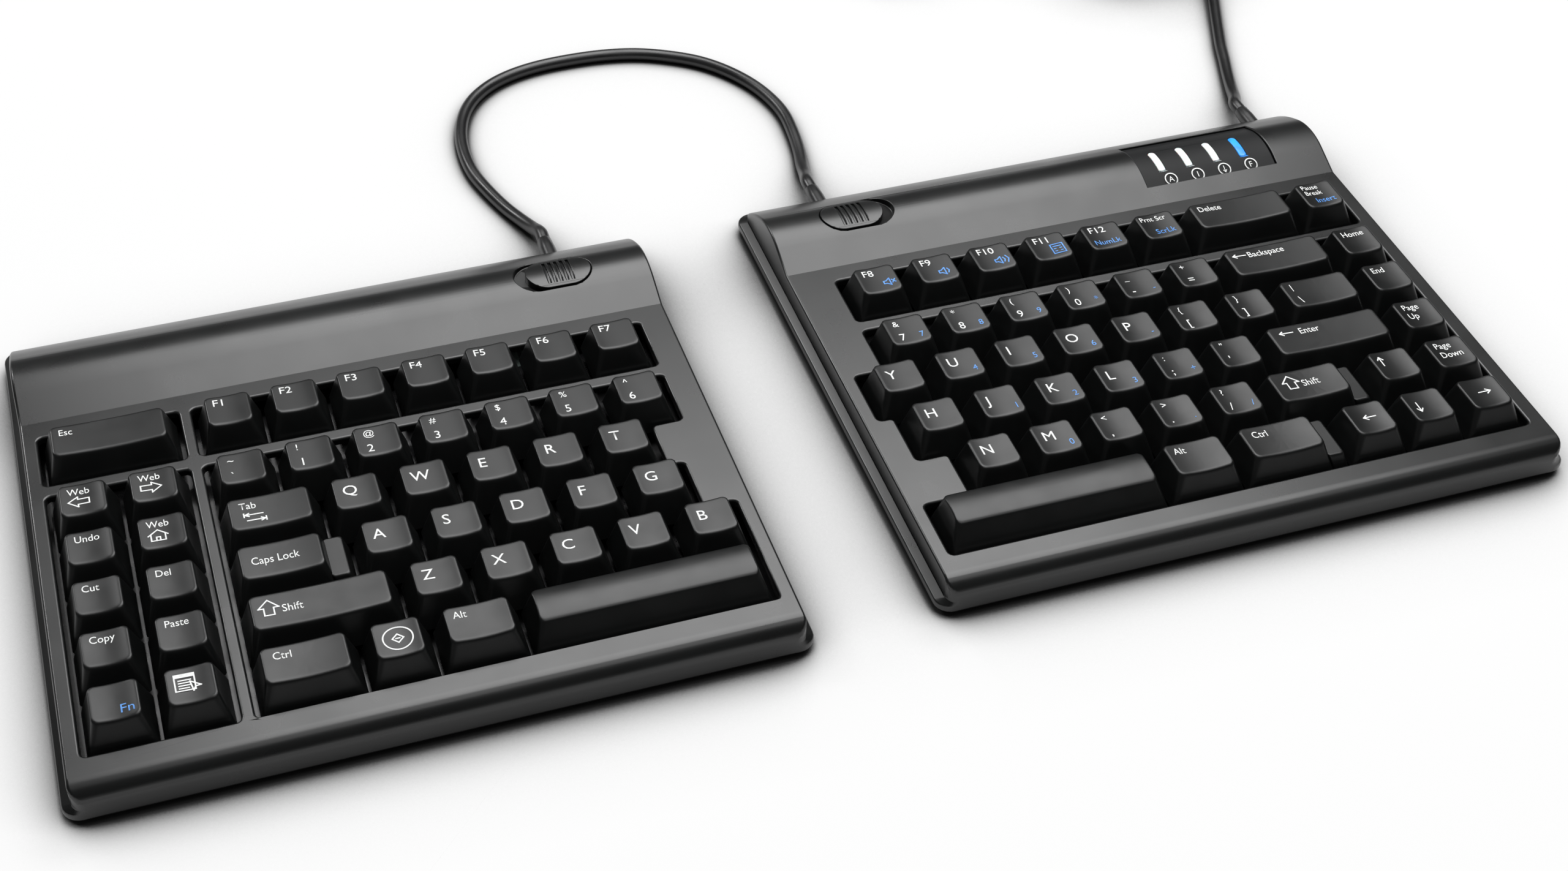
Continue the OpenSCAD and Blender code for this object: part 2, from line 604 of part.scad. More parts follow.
module indicator_window() {
  color("#26282b") place(1) difference() {
    union() {
      across(window_x0 + window_clearance, window_x1 - window_clearance)
        hump_band(window_recess, wall + window_flange,
          window_y0 + window_clearance, window_y0 + window_depth - window_clearance);
      across(window_x0 - flange_reach, window_x1 + flange_reach)
        hump_band(wall + touch_clearance, wall + window_flange,
          window_y0 - flange_reach, window_y0 + window_depth + flange_reach);
    }
    translate([0, 0, board_top]) linear_extrude(apex_z) light_outline(touch_clearance);
  }
}

module indicator_lights() {
  color("#d8dadc") place(1) intersection() {
    translate([0, 0, board_top]) linear_extrude(apex_z) light_outline(0);
    across(window_x0, window_x1) polygon(cover_outline(window_recess - 0.05, split_height));
  }
}

// Keys: hollow lofted caps with a dished top, or a crowned one on the space bars, on a round plunger
key_d = key_pitch / 2 - key_gap / 2;
function key_ring(left, right, front, z, inset, n) =
  let (f = (z - skirt_z) / (key_top - skirt_z), s = key_gap / 2 + top_side_inset * f + inset)
  let (pts = rect(left + s, right - s, -key_d + front * f + inset, key_d - top_rear_inset * f - inset))
  lift(n == 0 ? pts : rounded(pts, skirt_corner + (top_corner - skirt_corner) * f, n), z);

module key_solid(left, right, front, z) {
  loft([key_ring(left, right, front, skirt_z, 0, 3), key_ring(left, right, front, z, 0, 3)]);
}
module key_hollow(left, right, front, z) {
  loft([key_ring(left, right, front, skirt_z - 1, key_wall, 0), key_ring(left, right, front, z, key_wall, 0)]);
}
module dish(left, right) {
  half = (right - left - key_gap) / 2 - top_side_inset;
  r = (half * half + dish_depth * dish_depth) / (2 * dish_depth);
  translate([(left + right) / 2, 0, key_top - dish_depth + r]) rotate([90, 0, 0])
    cylinder(r = r, h = 2 * key_pitch, center = true, $fn = 180);
}
module crown(width) {
  front = -key_d + bar_front_inset;
  rear = key_d - top_rear_inset;
  half = (rear - front) / 2;
  r = (half * half + crown_rise * crown_rise) / (2 * crown_rise);
  across(-width, width) difference() {
    translate([-key_pitch, key_top - crown_rise]) square([2 * key_pitch, crown_rise + 1]);
    translate([(front + rear) / 2, key_top - r]) circle(r = r, $fn = 120);
  }
}

module key(k) {
  half = k[2] * key_pitch / 2;
  front = front_inset(k);
  raised = len(k) > 3 ? k[3] * key_pitch - half : half;
  ceiling = is_bar(k) ? bar_ceiling : key_ceiling;
  difference() {
    union() {
      key_solid(-half, raised, front, key_top);
      if (raised < half) key_solid(-half, half, front, key_top - ledge_drop);
    }
    key_hollow(-half, raised, front, ceiling);
    if (raised < half) key_hollow(-half, half, front, key_top - ledge_drop - key_roof);
    if (is_bar(k)) crown(half);
    if (!is_bar(k)) dish(-half, raised);
  }
  translate([0, stem_y(k), dome_top]) cylinder(d = plunger_d, h = ceiling + key_roof / 2 - dome_top);
}

module key_set(entry) {
  color(key_colour) place(entry[1])
    for (k = entry[2]) translate([key_x(k[0]), key_y(k[1]), 0]) key(k);
}

// Feet and screws of both halves
module rubber_feet() {
  color("#1d1d1e") for (h = [0, 1]) place(h) for (p = foot_points(h)) translate([p[0], p[1], 0])
    rotate_extrude() polygon([[0, 0], [foot_d / 2 - 0.6, 0], [foot_d / 2, 0.6],
      [foot_d / 2, stand_height + foot_recess], [0, stand_height + foot_recess]]);
}

module case_screws() {
  color("#8a8d90") for (h = [0, 1]) place(h) for (p = screw_points(h)) translate([p[0], p[1], head_top]) {
    cylinder(d = screw_d, h = screw_length);
    translate([0, 0, -screw_head_height]) difference() {
      cylinder(d = screw_head_d, h = screw_head_height);
      translate([0, 0, -1]) cylinder(d = 1.8, h = 1.9, $fn = 6);
    }
  }
}

// Strain reliefs: flange inside the wall, neck through it and a tapered end outside
relief_end = tail_y(split_height, 0) + relief_length;
module relief(h, x) {
  flange_y = tail_y(split_height + relief_d / 2 + 1, wall) - 4;
  place(h) translate([x, 0, split_height]) rotate([-90, 0, 0]) rotate_extrude() polygon([
    [0, flange_y - 2], [relief_d / 2 + 1, flange_y - 2], [relief_d / 2 + 1, flange_y], [relief_d / 2, flange_y],
    [relief_d / 2, relief_end - relief_length / 2], [cord_d / 2 + 0.15, relief_end], [0, relief_end]]);
}
module link_strain_reliefs() {
  color("#222325") for (h = [0, 1]) relief(h, exits(h)[0]);
}
module usb_strain_relief() {
  color("#222325") relief(1, exits(1)[1]);
}

// Cable routes over the desk, chosen by eye, with their ends set by the strain reliefs
function exit_point(h, x) = [half_x(h) + x, half_y(h) + relief_end, split_height];
function exit_run(h, x) = [exit_point(h, x), exit_point(h, x) + [0, cord_d, 0]];
function reversed(p) = [for (i = [len(p) - 1:-1:0]) p[i]];
on_desk = cord_d / 2;
link_route = concat(
  exit_run(0, exits(0)[0]),
  [[-47, 106, 4.4], [-49.5, 114, 2.8], [-52.5, 122, on_desk], [-56, 133, on_desk], [-58.5, 144, on_desk],
   [-59, 155, on_desk], [-58, 165.5, on_desk], [-55.5, 175, on_desk], [-52, 182.5, on_desk], [-47.5, 188.5, on_desk],
   [-41, 194, on_desk], [-33, 198, on_desk], [-23.5, 200.5, on_desk], [-12, 201.5, on_desk], [1.5, 201, on_desk],
   [13.5, 198.5, on_desk], [24.5, 193.5, on_desk], [34, 187, on_desk], [41.5, 178.5, on_desk], [47.5, 168, on_desk],
   [51, 157.5, on_desk], [52.5, 147.5, on_desk], [52, 136.5, on_desk], [50.5, 125, on_desk], [48.5, 116, 2.8],
   [47, 108.5, 4.4]],
  reversed(exit_run(1, exits(1)[0])));

coil_low = tie_thickness + end_clearance + cord_d / 2;
coil_centre = [218, 221];
coil_start = -21;
coil_inner = coil_radius - coil_step * coil_loops;
// Coil: four layers that spiral in and out in turn and climb in the half turn between them
function layer_of(t) = min(3, floor(t / (coil_loops + 0.5)));
function coil_point(t) =
  let (k = layer_of(t), w = t - k * (coil_loops + 0.5), s = min(w, coil_loops) * coil_step, a = coil_start + 360 * t)
  let (r = k % 2 == 0 ? coil_radius - s : coil_inner + s, c = max(0, w - coil_loops) * 2)
  [coil_centre[0] + r * cos(a), coil_centre[1] + r * sin(a), coil_low + coil_step * (k + c)];
coil_turns = 4 * coil_loops + 1.5;
loop_rings = 24;
coil_steps = round(coil_turns * loop_rings);
coil_wound = [for (i = [0:coil_steps]) coil_point(coil_turns * i / coil_steps)];
function flat_heading(a) = [-sin(a), cos(a), 0];
coil_path = concat(
  [coil_wound[0] - cord_d * flat_heading(coil_start)],
  coil_wound,
  [coil_wound[coil_steps] + cord_d * flat_heading(coil_start + 360 * coil_turns)]);
function coil_gap() = min([for (i = [0:len(coil_path) - 1], j = [i + loop_rings / 2:1:len(coil_path) - 1])
  norm(coil_path[i] - coil_path[j])]) - cord_d;

lead_route = concat(
  exit_run(1, exits(1)[1]),
  [[207, 108, 4.4], [210, 116, 2.8], [213.5, 126, on_desk], [216.5, 134.5, on_desk], [219, 142, on_desk],
   [222.5, 151, on_desk], [226.5, 161, on_desk], [231, 172, on_desk], [235.5, 183.5, on_desk + 0.3],
   [240, 195, coil_low - 0.4]],
  [coil_path[0] - cord_d * flat_heading(coil_start), coil_path[0]]);
plug_rear = [150, 227, plug_height / 2];
coil_end = coil_path[len(coil_path) - 1];
tail_route = concat(
  [coil_end, coil_end + cord_d * flat_heading(coil_start + 360 * coil_turns)],
  [[190.5, 238.5, 18], [182, 234, 14], [172, 230.5, 9], [162, 228, 5.6]],
  [plug_rear + [cord_d, 0, 0], plug_rear]);

module link_cable() {
  color("#1b1c1e") loft(tube_rings(link_route, cord_d / 2, 10));
  echo(link_cable_length = path_length(link_route));
}
module usb_lead() {
  color("#1b1c1e") loft(tube_rings(lead_route, cord_d / 2, 10));
}
module usb_coil() {
  color("#1b1c1e") loft(tube_rings(coil_path, cord_d / 2, 6));
  echo(least_gap_of_coil = coil_gap());
  echo(lead_length = path_length(lead_route) + path_length(coil_path) + path_length(tail_route));
}
module usb_tail() {
  color("#1b1c1e") loft(tube_rings(tail_route, cord_d / 2, 10));
}

module usb_plug_body() {
  nose = plug_length - 9;
  color("#1b1c1e") translate(plug_rear) rotate([0, 0, 180]) difference() {
    intersection() {
      translate([0, 0, -plug_height / 2]) linear_extrude(plug_height) polygon(rounded(
        [[0, -cord_d / 2 - 1], [9, -plug_width / 2], [9 + nose, -plug_width / 2], [9 + nose, plug_width / 2],
         [9, plug_width / 2], [0, cord_d / 2 + 1]], 1.5, 4));
      translate([0, plug_width, 0]) rotate([90, 0, 0]) linear_extrude(2 * plug_width) polygon(rounded(
        [[0, -cord_d / 2 - 0.8], [9, -plug_height / 2], [9 + nose, -plug_height / 2], [9 + nose, plug_height / 2],
         [9, plug_height / 2], [0, cord_d / 2 + 0.8]], 1, 4));
    }
    for (i = [0:3], s = [-1, 1]) translate([13 + 2.4 * i, -plug_width / 2 + 2.2, s * plug_height / 2 - 0.35])
      cube([1.2, plug_width - 4.4, 0.7]);
  }
}
module usb_plug_shell() {
  color("#b9bcc0") translate(plug_rear - [plug_length, 0, 0]) rotate([0, -90, 0])
    linear_extrude(shell_length) difference() {
      square([shell_height, shell_width], center = true);
      translate([0.6, 0]) square([shell_height - 1.8, shell_width - 0.6], center = true);
    }
}

module cord_tie() {
  bow = coil_inner - cord_d / 2 - sqrt(pow(coil_inner - cord_d / 2, 2) - pow(tie_width / 2, 2));
  r0 = coil_inner - cord_d / 2 - bow - end_clearance;
  r1 = coil_radius + cord_d / 2 + end_clearance;
  z1 = coil_low + 3 * coil_step + cord_d / 2 + end_clearance;
  color("#2a2b2d") translate(coil_centre) rotate([0, 0, 225]) rotate([90, 0, 0])
    translate([0, 0, -tie_width / 2]) linear_extrude(tie_width) difference() {
      polygon(rounded(rect(r0 - tie_thickness, r1 + tie_thickness, 0, z1 + tie_thickness), 2.6, 5));
      polygon(rounded(rect(r0, r1, tie_thickness, z1), 1.6, 5));
    }
}

module left_bottom_cover() { color(case_colour) place(0) bottom_cover(0); }
module left_top_cover() { color(case_colour) place(0) top_cover(0); }
module left_key_frame() { color("#1f2022") place(0) key_frame(0); }
module left_dome_sheet() { color("#d9d6c8") place(0) dome_sheet(0); }
module left_membrane() { color("#c9d6d2") place(0) membrane(0); }
module left_base_plate() { color("#9b9ea1") place(0) base_plate(0); }
module link_board() { color("#2c5c3a") place(0) circuit_board(0); }
module left_latch_slider() { color(case_colour) place(0) latch_slider(0); }
module right_bottom_cover() { color(case_colour) place(1) bottom_cover(1); }
module right_top_cover() { color(case_colour) place(1) top_cover(1); }
module right_key_frame() { color("#1f2022") place(1) key_frame(1); }
module right_dome_sheet() { color("#d9d6c8") place(1) dome_sheet(1); }
module right_membrane() { color("#c9d6d2") place(1) membrane(1); }
module right_base_plate() { color("#9b9ea1") place(1) base_plate(1); }
module controller_board() { color("#2c5c3a") place(1) circuit_board(1); }
module right_latch_slider() { color(case_colour) place(1) latch_slider(1); }

left_bottom_cover();
left_top_cover();
left_key_frame();
left_dome_sheet();
left_membrane();
left_base_plate();
link_board();
left_latch_slider();
right_bottom_cover();
right_top_cover();
right_key_frame();
right_dome_sheet();
right_membrane();
right_base_plate();
controller_board();
right_latch_slider();
indicator_window();
indicator_lights();
rubber_feet();
case_screws();
link_strain_reliefs();
link_cable();
usb_strain_relief();
usb_lead();
usb_coil();
usb_tail();
usb_plug_body();
usb_plug_shell();
cord_tie();
for (entry = KEYS) key_set(entry);
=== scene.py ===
import json
import math

import bmesh
import bpy
import numpy as np
from mathutils import Matrix, Vector


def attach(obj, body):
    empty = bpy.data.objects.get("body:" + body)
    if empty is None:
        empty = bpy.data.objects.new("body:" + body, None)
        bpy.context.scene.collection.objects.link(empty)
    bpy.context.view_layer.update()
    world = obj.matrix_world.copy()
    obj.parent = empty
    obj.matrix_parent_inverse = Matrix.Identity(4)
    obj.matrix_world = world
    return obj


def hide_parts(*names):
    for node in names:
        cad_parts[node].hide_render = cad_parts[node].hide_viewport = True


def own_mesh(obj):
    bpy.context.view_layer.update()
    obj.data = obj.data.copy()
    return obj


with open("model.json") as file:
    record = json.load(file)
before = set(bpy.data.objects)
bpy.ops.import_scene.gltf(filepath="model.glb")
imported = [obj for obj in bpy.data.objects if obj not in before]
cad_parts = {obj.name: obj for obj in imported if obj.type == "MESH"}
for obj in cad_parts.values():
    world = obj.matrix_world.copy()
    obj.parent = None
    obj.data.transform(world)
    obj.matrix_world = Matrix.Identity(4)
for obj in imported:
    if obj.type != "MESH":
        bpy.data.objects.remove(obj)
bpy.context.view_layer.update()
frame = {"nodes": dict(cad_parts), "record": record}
bodyOf = {node: body for body, nodes in frame["record"]["behaviour"]["bodies"].items() for node in nodes}
scene = bpy.context.scene
scene.view_settings.view_transform = "Standard"
mm = 0.001
print("frame:", len(frame["nodes"]), "nodes")

# Sizes below are millimetres in the shared frame, as in the part's source.
# Each half is placed by the point on the centre line of its number row that its keys are counted from.
halves = {"left": (-163.894, 3.991), "right": (25.219, 5.491)}
camera = {
    "place": (-166.38, -478.84, 458.03),
    "turn": 0.3412,  # radians to the right of straight ahead
    "dip": 0.7417,  # radians below the horizon
    "roll": 0.0289,
    "lens": 52.452,
    "sensor": 36,
}


def stand(name, data):
    thing = bpy.data.objects.new(name, data)
    scene.collection.objects.link(thing)
    return thing


def placeCamera():
    data = bpy.data.cameras.new("photo_camera")
    data.sensor_fit = "HORIZONTAL"
    data.sensor_width = camera["sensor"]
    data.lens = camera["lens"]
    data.clip_start = 0.01
    eye = stand("photo_camera", data)
    turn = Matrix.Rotation(-camera["turn"], 4, "Z")
    tip = Matrix.Rotation(math.pi / 2 - camera["dip"], 4, "X") @ Matrix.Rotation(camera["roll"], 4, "Z")
    eye.matrix_world = Matrix.Translation(Vector(camera["place"]) * mm) @ turn @ tip
    scene.camera = eye


placeCamera()
print("camera placed")


def linear(hexColour):
    parts = [int(hexColour[i:i + 2], 16) / 255 for i in (1, 3, 5)]
    return tuple(c / 12.92 if c <= 0.04045 else ((c + 0.055) / 1.055) ** 2.4 for c in parts) + (1.0,)


def addNode(tree, kind, inputs=None, **settings):
    node = tree.nodes.new(kind)
    for name, value in settings.items():
        setattr(node, name, value)
    for name, value in (inputs or {}).items():
        if isinstance(value, bpy.types.NodeSocket):
            tree.links.new(value, node.inputs[name])
        else:
            node.inputs[name].default_value = value
    return node


def startMaterial(name, values):
    material = bpy.data.materials.new(name)
    material.use_nodes = True
    tree = material.node_tree
    shader = tree.nodes["Principled BSDF"]
    for socket, value in values.items():
        shader.inputs[socket].default_value = value
    place = addNode(tree, "ShaderNodeTexCoord").outputs["Object"]
    return material, tree, shader, place


def addGrain(tree, shader, place, size, depth, strength):
    # fine surface relief, with a size and a depth in millimetres
    grain = addNode(tree, "ShaderNodeTexNoise", {"Vector": place, "Scale": 1 / (size * mm), "Detail": 3.0})
    bump = addNode(tree, "ShaderNodeBump", {
        "Height": grain.outputs[0], "Strength": strength, "Distance": depth * mm})
    tree.links.new(bump.outputs["Normal"], shader.inputs["Normal"])


def addDrift(tree, place, size, low, high):
    # slow drift of a value between two levels, over patches of that size in millimetres
    cloud = addNode(tree, "ShaderNodeTexNoise", {"Vector": place, "Scale": 1 / (size * mm), "Detail": 4.0})
    level = addNode(tree, "ShaderNodeMapRange", {
        "Value": cloud.outputs[0], "From Min": 0.35, "From Max": 0.65, "To Min": low, "To Max": high})
    return level.outputs["Result"]


def addShades(tree, shader, factor, dark, light):
    mix = addNode(tree, "ShaderNodeMix", {"Factor": factor}, data_type="RGBA")
    mix.inputs[6].default_value = linear(dark)
    mix.inputs[7].default_value = linear(light)
    tree.links.new(mix.outputs[2], shader.inputs["Base Color"])


def moulded(name, values, shades, rough=None, grain=None):
    # two shades and a roughness that drift over patches of a size, and a grain of a size, depth and strength
    material, tree, shader, place = startMaterial(name, values)
    addShades(tree, shader, addDrift(tree, place, shades[0], 0, 1), *shades[1:])
    if rough:
        tree.links.new(addDrift(tree, place, *rough), shader.inputs["Roughness"])
    if grain:
        addGrain(tree, shader, place, *grain)
    return material


# Vinyl cord jacket, extruded: smooth and slightly greasy, so that it carries a long soft highlight
vinyl = moulded(
    "black_vinyl_jacket", {"IOR": 1.53}, (30, "#0c0c0d", "#131314"), (12, 0.3, 0.4), (0.9, 0.05, 0.08))
# ABS from a spark-eroded mould: satin black, its fine sandy grain spreads every highlight
caseFinish = moulded(
    "satin_black_abs", {"IOR": 1.53}, (45, "#0b0c0c", "#0f1010"), (18, 0.27, 0.31),
    (0.6, 0.03, 0.12))  # real grain is about 0.2 mm, too fine to show
# ABS keycaps from a fine-blasted mould: duller than the case, with a faint shine where fingers rub
keyFinish = moulded(
    "blasted_black_abs", {"IOR": 1.53, "Specular IOR Level": 0.34}, (25, "#0b0c0c", "#0f1010"),
    (9, 0.29, 0.35), (0.5, 0.02, 0.1))
# Plain black ABS of the inner frame, straight from the mould: glossy, so that it glints in the gaps
frameFinish = moulded("glossy_black_abs", {"IOR": 1.53}, (20, "#0d0d0e", "#121213"), (8, 0.24, 0.32))
# Smoked acrylic with a satin hard coat: nearly black, and duller than the case round it
windowFinish = moulded(
    "smoked_acrylic", {"IOR": 1.49, "Specular IOR Level": 0.24}, (30, "#0f1011", "#141516"), (14, 0.5, 0.56))
# Milky acrylic light pipe: pale and slightly translucent
milky = moulded(
    "milky_acrylic", {"IOR": 1.49, "Roughness": 0.3, "Subsurface Weight": 0.3, "Subsurface Scale": 0.001},
    (3, "#cfd6d4", "#e8eeec"))
# The same acrylic with its lamp on: saturated blue
lit = moulded(
    "lit_blue_acrylic",
    {"IOR": 1.49, "Roughness": 0.3, "Emission Color": linear("#1487e6"), "Emission Strength": 0.55},
    (3, "#1a6fc4", "#2f95ee"))
# Pad-printed ink: thin, flat and even
whiteInk = moulded("white_key_ink", {"Roughness": 0.5}, (1.5, "#dfe1e0", "#f2f3f2"))
blueInk = moulded("blue_key_ink", {"Roughness": 0.5}, (1.5, "#3f80cc", "#5a9ae2"))
# Moulded silicone rubber: pale, soft and matt
rubber = moulded("moulded_silicone", {"Roughness": 0.6, "IOR": 1.41}, (6, "#c8c4b4", "#dcd8c8"))
# Moulded rubber foot: dead black and matt. The latch's track also gets it, as painted shade.
feetAndShadeFinish = moulded(
    "black_foot_rubber", {"Roughness": 0.8, "Specular IOR Level": 0.15}, (4, "#141414", "#1e1e1e"),
    grain=(0.5, 0.05, 0.2))


# Hook-and-loop tape, woven nylon: matt, with a fine rib across the strap
def wovenTape():
    material, tree, shader, place = startMaterial(
        "woven_nylon_tape", {"Roughness": 0.85, "Sheen Weight": 0.3})
    scale = 1 / (0.8 * mm) / (2 * math.pi) * 2  # about a rib every 0.8 mm
    weave = addNode(tree, "ShaderNodeTexWave", {
        "Vector": place, "Scale": scale, "Distortion": 1.5, "Detail": 2.0}, bands_direction="Z").outputs[0]
    addShades(tree, shader, weave, "#141415", "#26272a")
    bump = addNode(tree, "ShaderNodeBump", {"Height": weave, "Strength": 0.5, "Distance": 0.15 * mm})
    tree.links.new(bump.outputs["Normal"], shader.inputs["Normal"])
    return material


# Printed polyester film: clear and glossy, with silver tracks every 4 mm
def polyesterFilm():
    material, tree, shader, place = startMaterial("printed_polyester_film", {"Roughness": 0.2, "IOR": 1.58})
    tracks = addNode(tree, "ShaderNodeTexWave", {
        "Vector": place, "Scale": 1 / (2 * mm) / 20 * math.pi}, bands_direction="X")
    lines = addNode(tree, "ShaderNodeMapRange", {
        "Value": tracks.outputs[0], "From Min": 0.75, "From Max": 0.85, "To Min": 0.0, "To Max": 1.0})
    addShades(tree, shader, lines.outputs["Result"], "#b9c9c4", "#8f9694")
    return material


# Zinc-coated steel: bright grey with a soft spangle
def zincSteel(name, dark, light, rough):
    material, tree, shader, place = startMaterial(name, {"Metallic": 1.0})
    spangle = addNode(tree, "ShaderNodeTexVoronoi", {"Vector": place, "Scale": 1 / (3 * mm)})
    addShades(tree, shader, spangle.outputs["Color"], dark, light)
    tree.links.new(addDrift(tree, place, 5, rough - 0.06, rough + 0.06), shader.inputs["Roughness"])
    return material


# Glass-fibre laminate under green solder resist: smooth, with faint copper tracks below
def boardLaminate():
    material, tree, shader, place = startMaterial("green_board_laminate", {"Roughness": 0.35, "IOR": 1.5})
    tracks = addNode(tree, "ShaderNodeTexBrick", {
        "Vector": place, "Scale": 1 / (9 * mm), "Mortar Size": 0.03})
    addShades(tree, shader, tracks.outputs[1], "#1d4a2b", "#2f6a41")
    return material


tape = wovenTape()
film = polyesterFilm()
plateSteel = zincSteel("zinc_coated_sheet", "#8d9194", "#a9adb0", 0.38)
screwSteel = zincSteel("zinc_plated_screw", "#76797c", "#8f9396", 0.32)
shellSteel = zincSteel("nickel_plated_shell", "#b4b7ba", "#c6c9cc", 0.22)
laminate = boardLaminate()
print("materials made:", len(bpy.data.materials))


def addPiece(name, points, faces, *materials, sharp=None):
    mesh = bpy.data.meshes.new(name)
    mesh.from_pydata([[c * mm for c in p] for p in points], [], faces)
    for material in materials:
        mesh.materials.append(material)
    mesh.shade_smooth()
    if sharp:
        mesh.set_sharp_from_angle(angle=math.radians(sharp))
    return stand(name, mesh)


def dress(piece, body, slot, *nodes):
    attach(piece, body)
    if nodes:
        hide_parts(*nodes)
    return piece


def joined(shapes):
    # points and faces of several shapes as one
    points, faces = [], []
    for somePoints, someFaces in shapes:
        faces += [tuple(i + len(points) for i in face) for face in someFaces]
        points += list(somePoints)
    return points, faces


def skin(rings, start="flat", end="flat"):
    # closed surface through rings of equal count, each anticlockwise seen from the last one
    count = len(rings[0])
    points = [tuple(p) for ring in rings for p in ring]
    faces = []
    for k in range(len(rings) - 1):
        a, b = k * count, (k + 1) * count
        faces += [(a + i, a + (i + 1) % count, b + (i + 1) % count, b + i) for i in range(count)]
    last = (len(rings) - 1) * count
    if start == "flat":
        faces.append(tuple(range(count - 1, -1, -1)))
    if start == "point":
        points.append(tuple(np.mean(rings[0], axis=0)))
        faces += [((i + 1) % count, i, len(points) - 1) for i in range(count)]
    if end == "flat":
        faces.append(tuple(range(last, last + count)))
    if end == "point":
        points.append(tuple(np.mean(rings[-1], axis=0)))
        faces += [(last + i, last + (i + 1) % count, len(points) - 1) for i in range(count)]
    return points, faces


def smoothPath(route, parts):
    # rounded line through every point of the route
    knots = [np.array(p, float) for p in route]
    knots = [2 * knots[0] - knots[1]] + knots + [2 * knots[-1] - knots[-2]]
    path = []
    for k in range(1, len(knots) - 2):
        a, b, c, d = knots[k - 1:k + 3]
        t1 = np.linalg.norm(b - a) ** 0.5
        t2 = t1 + np.linalg.norm(c - b) ** 0.5
        t3 = t2 + np.linalg.norm(d - c) ** 0.5
        for i in range(parts):
            t = t1 + (t2 - t1) * i / parts
            ab = (a * (t1 - t) + b * t) / t1
            bc = (b * (t2 - t) + c * (t - t1)) / (t2 - t1)
            cd = (c * (t3 - t) + d * (t - t2)) / (t3 - t2)
            abc = (ab * (t2 - t) + bc * t) / t2
            bcd = (bc * (t3 - t) + cd * (t - t1)) / (t3 - t1)
            path.append((abc * (t2 - t) + bcd * (t - t1)) / (t2 - t1))
    path.append(knots[-2])
    return np.array(path)


def tubeRings(path, radius, sides):
    heading = np.gradient(path, axis=0)
    heading /= np.linalg.norm(heading, axis=1)[:, None]
    side = np.cross(heading[0], (0, 0, 1))
    angles = np.arange(sides) * 2 * math.pi / sides
    rings = []
    for point, ahead in zip(path, heading):
        side = side - ahead * (side @ ahead)
        side /= np.linalg.norm(side)
        over = np.cross(ahead, side)
        rings.append([point + radius * (math.cos(a) * side + math.sin(a) * over) for a in angles])
    return rings


# Cords: the link between the halves, and the lead with its coil put away behind the right half
cords = {
    "diameter": 4.4,
    "sides": 14,
    "leftExit": (-45.98, 95.93, 6.5),
    "rightExit": (45.42, 97.43, 6.5),
    "leadExit": (203.79, 97.43, 6.5),
    "link": [
        (-47, 106, 4.4), (-49.5, 114, 2.8), (-52.5, 122, 2.2), (-56, 133, 2.2), (-58.5, 144, 2.2),
        (-59, 155, 2.2), (-58, 165.5, 2.2), (-55.5, 175, 2.2), (-52, 182.5, 2.2), (-47.5, 188.5, 2.2),
        (-41, 194, 2.2), (-33, 198, 2.2), (-23.5, 200.5, 2.2), (-12, 201.5, 2.2), (1.5, 201, 2.2),
        (13.5, 198.5, 2.2), (24.5, 193.5, 2.2), (34, 187, 2.2), (41.5, 178.5, 2.2), (47.5, 168, 2.2),
        (51, 157.5, 2.2), (52.5, 147.5, 2.2), (52, 136.5, 2.2), (50.5, 125, 2.2), (48.5, 116, 2.8),
        (47, 108.5, 4.4)],
    "lead": [
        (207, 108, 4.4), (210, 116, 2.8), (213.5, 126, 2.2), (216.5, 134.5, 2.2), (219, 142, 2.2),
        (222.5, 151, 2.2), (226.5, 161, 2.2), (231, 172, 2.2), (235.5, 183.5, 2.5), (240, 195, 3.1)],
    "tail": [(190.5, 238.5, 18), (182, 234, 14), (172, 230.5, 9), (162, 228, 5.6)],
    "plugRear": (150, 227, 4.5),
    "gripEdge": 0.25,
    "shellEdge": 0.12,
}
coil = {
    "centre": (218, 221), "radius": 30, "step": 5.5, "loops": 2.225, "layers": 4, "start": -21, "low": 3.5,
    "rings": 24,
}


def coilPoint(turns):
    # layers that spiral in and out in turn, and climb in the half turn between them
    layer = min(coil["layers"] - 1, math.floor(turns / (coil["loops"] + 0.5)))
    within = turns - layer * (coil["loops"] + 0.5)
    shift = min(within, coil["loops"]) * coil["step"]
    inner = coil["radius"] - coil["step"] * coil["loops"]
    radius = coil["radius"] - shift if layer % 2 == 0 else inner + shift
    climb = max(0, within - coil["loops"]) * 2
    angle = math.radians(coil["start"] + 360 * turns)
    return np.array((
        coil["centre"][0] + radius * math.cos(angle),
        coil["centre"][1] + radius * math.sin(angle),
        coil["low"] + coil["step"] * (layer + climb)))


def coilRoute():
    turns = coil["layers"] * coil["loops"] + (coil["layers"] - 1) / 2
    count = round(turns * coil["rings"])
    wound = [coilPoint(turns * i / count) for i in range(count + 1)]
    ends = [math.radians(coil["start"]), math.radians(coil["start"] + 360 * turns)]
    ahead = [np.array((-math.sin(a), math.cos(a), 0)) * cords["diameter"] for a in ends]
    before = [wound[0] - ahead[0] * 2, wound[0] - ahead[0]]
    return before + wound + [wound[-1] + ahead[1], wound[-1] + ahead[1] * 2]


def exitRun(point):
    return [point, (point[0], point[1] + cords["diameter"], point[2])]


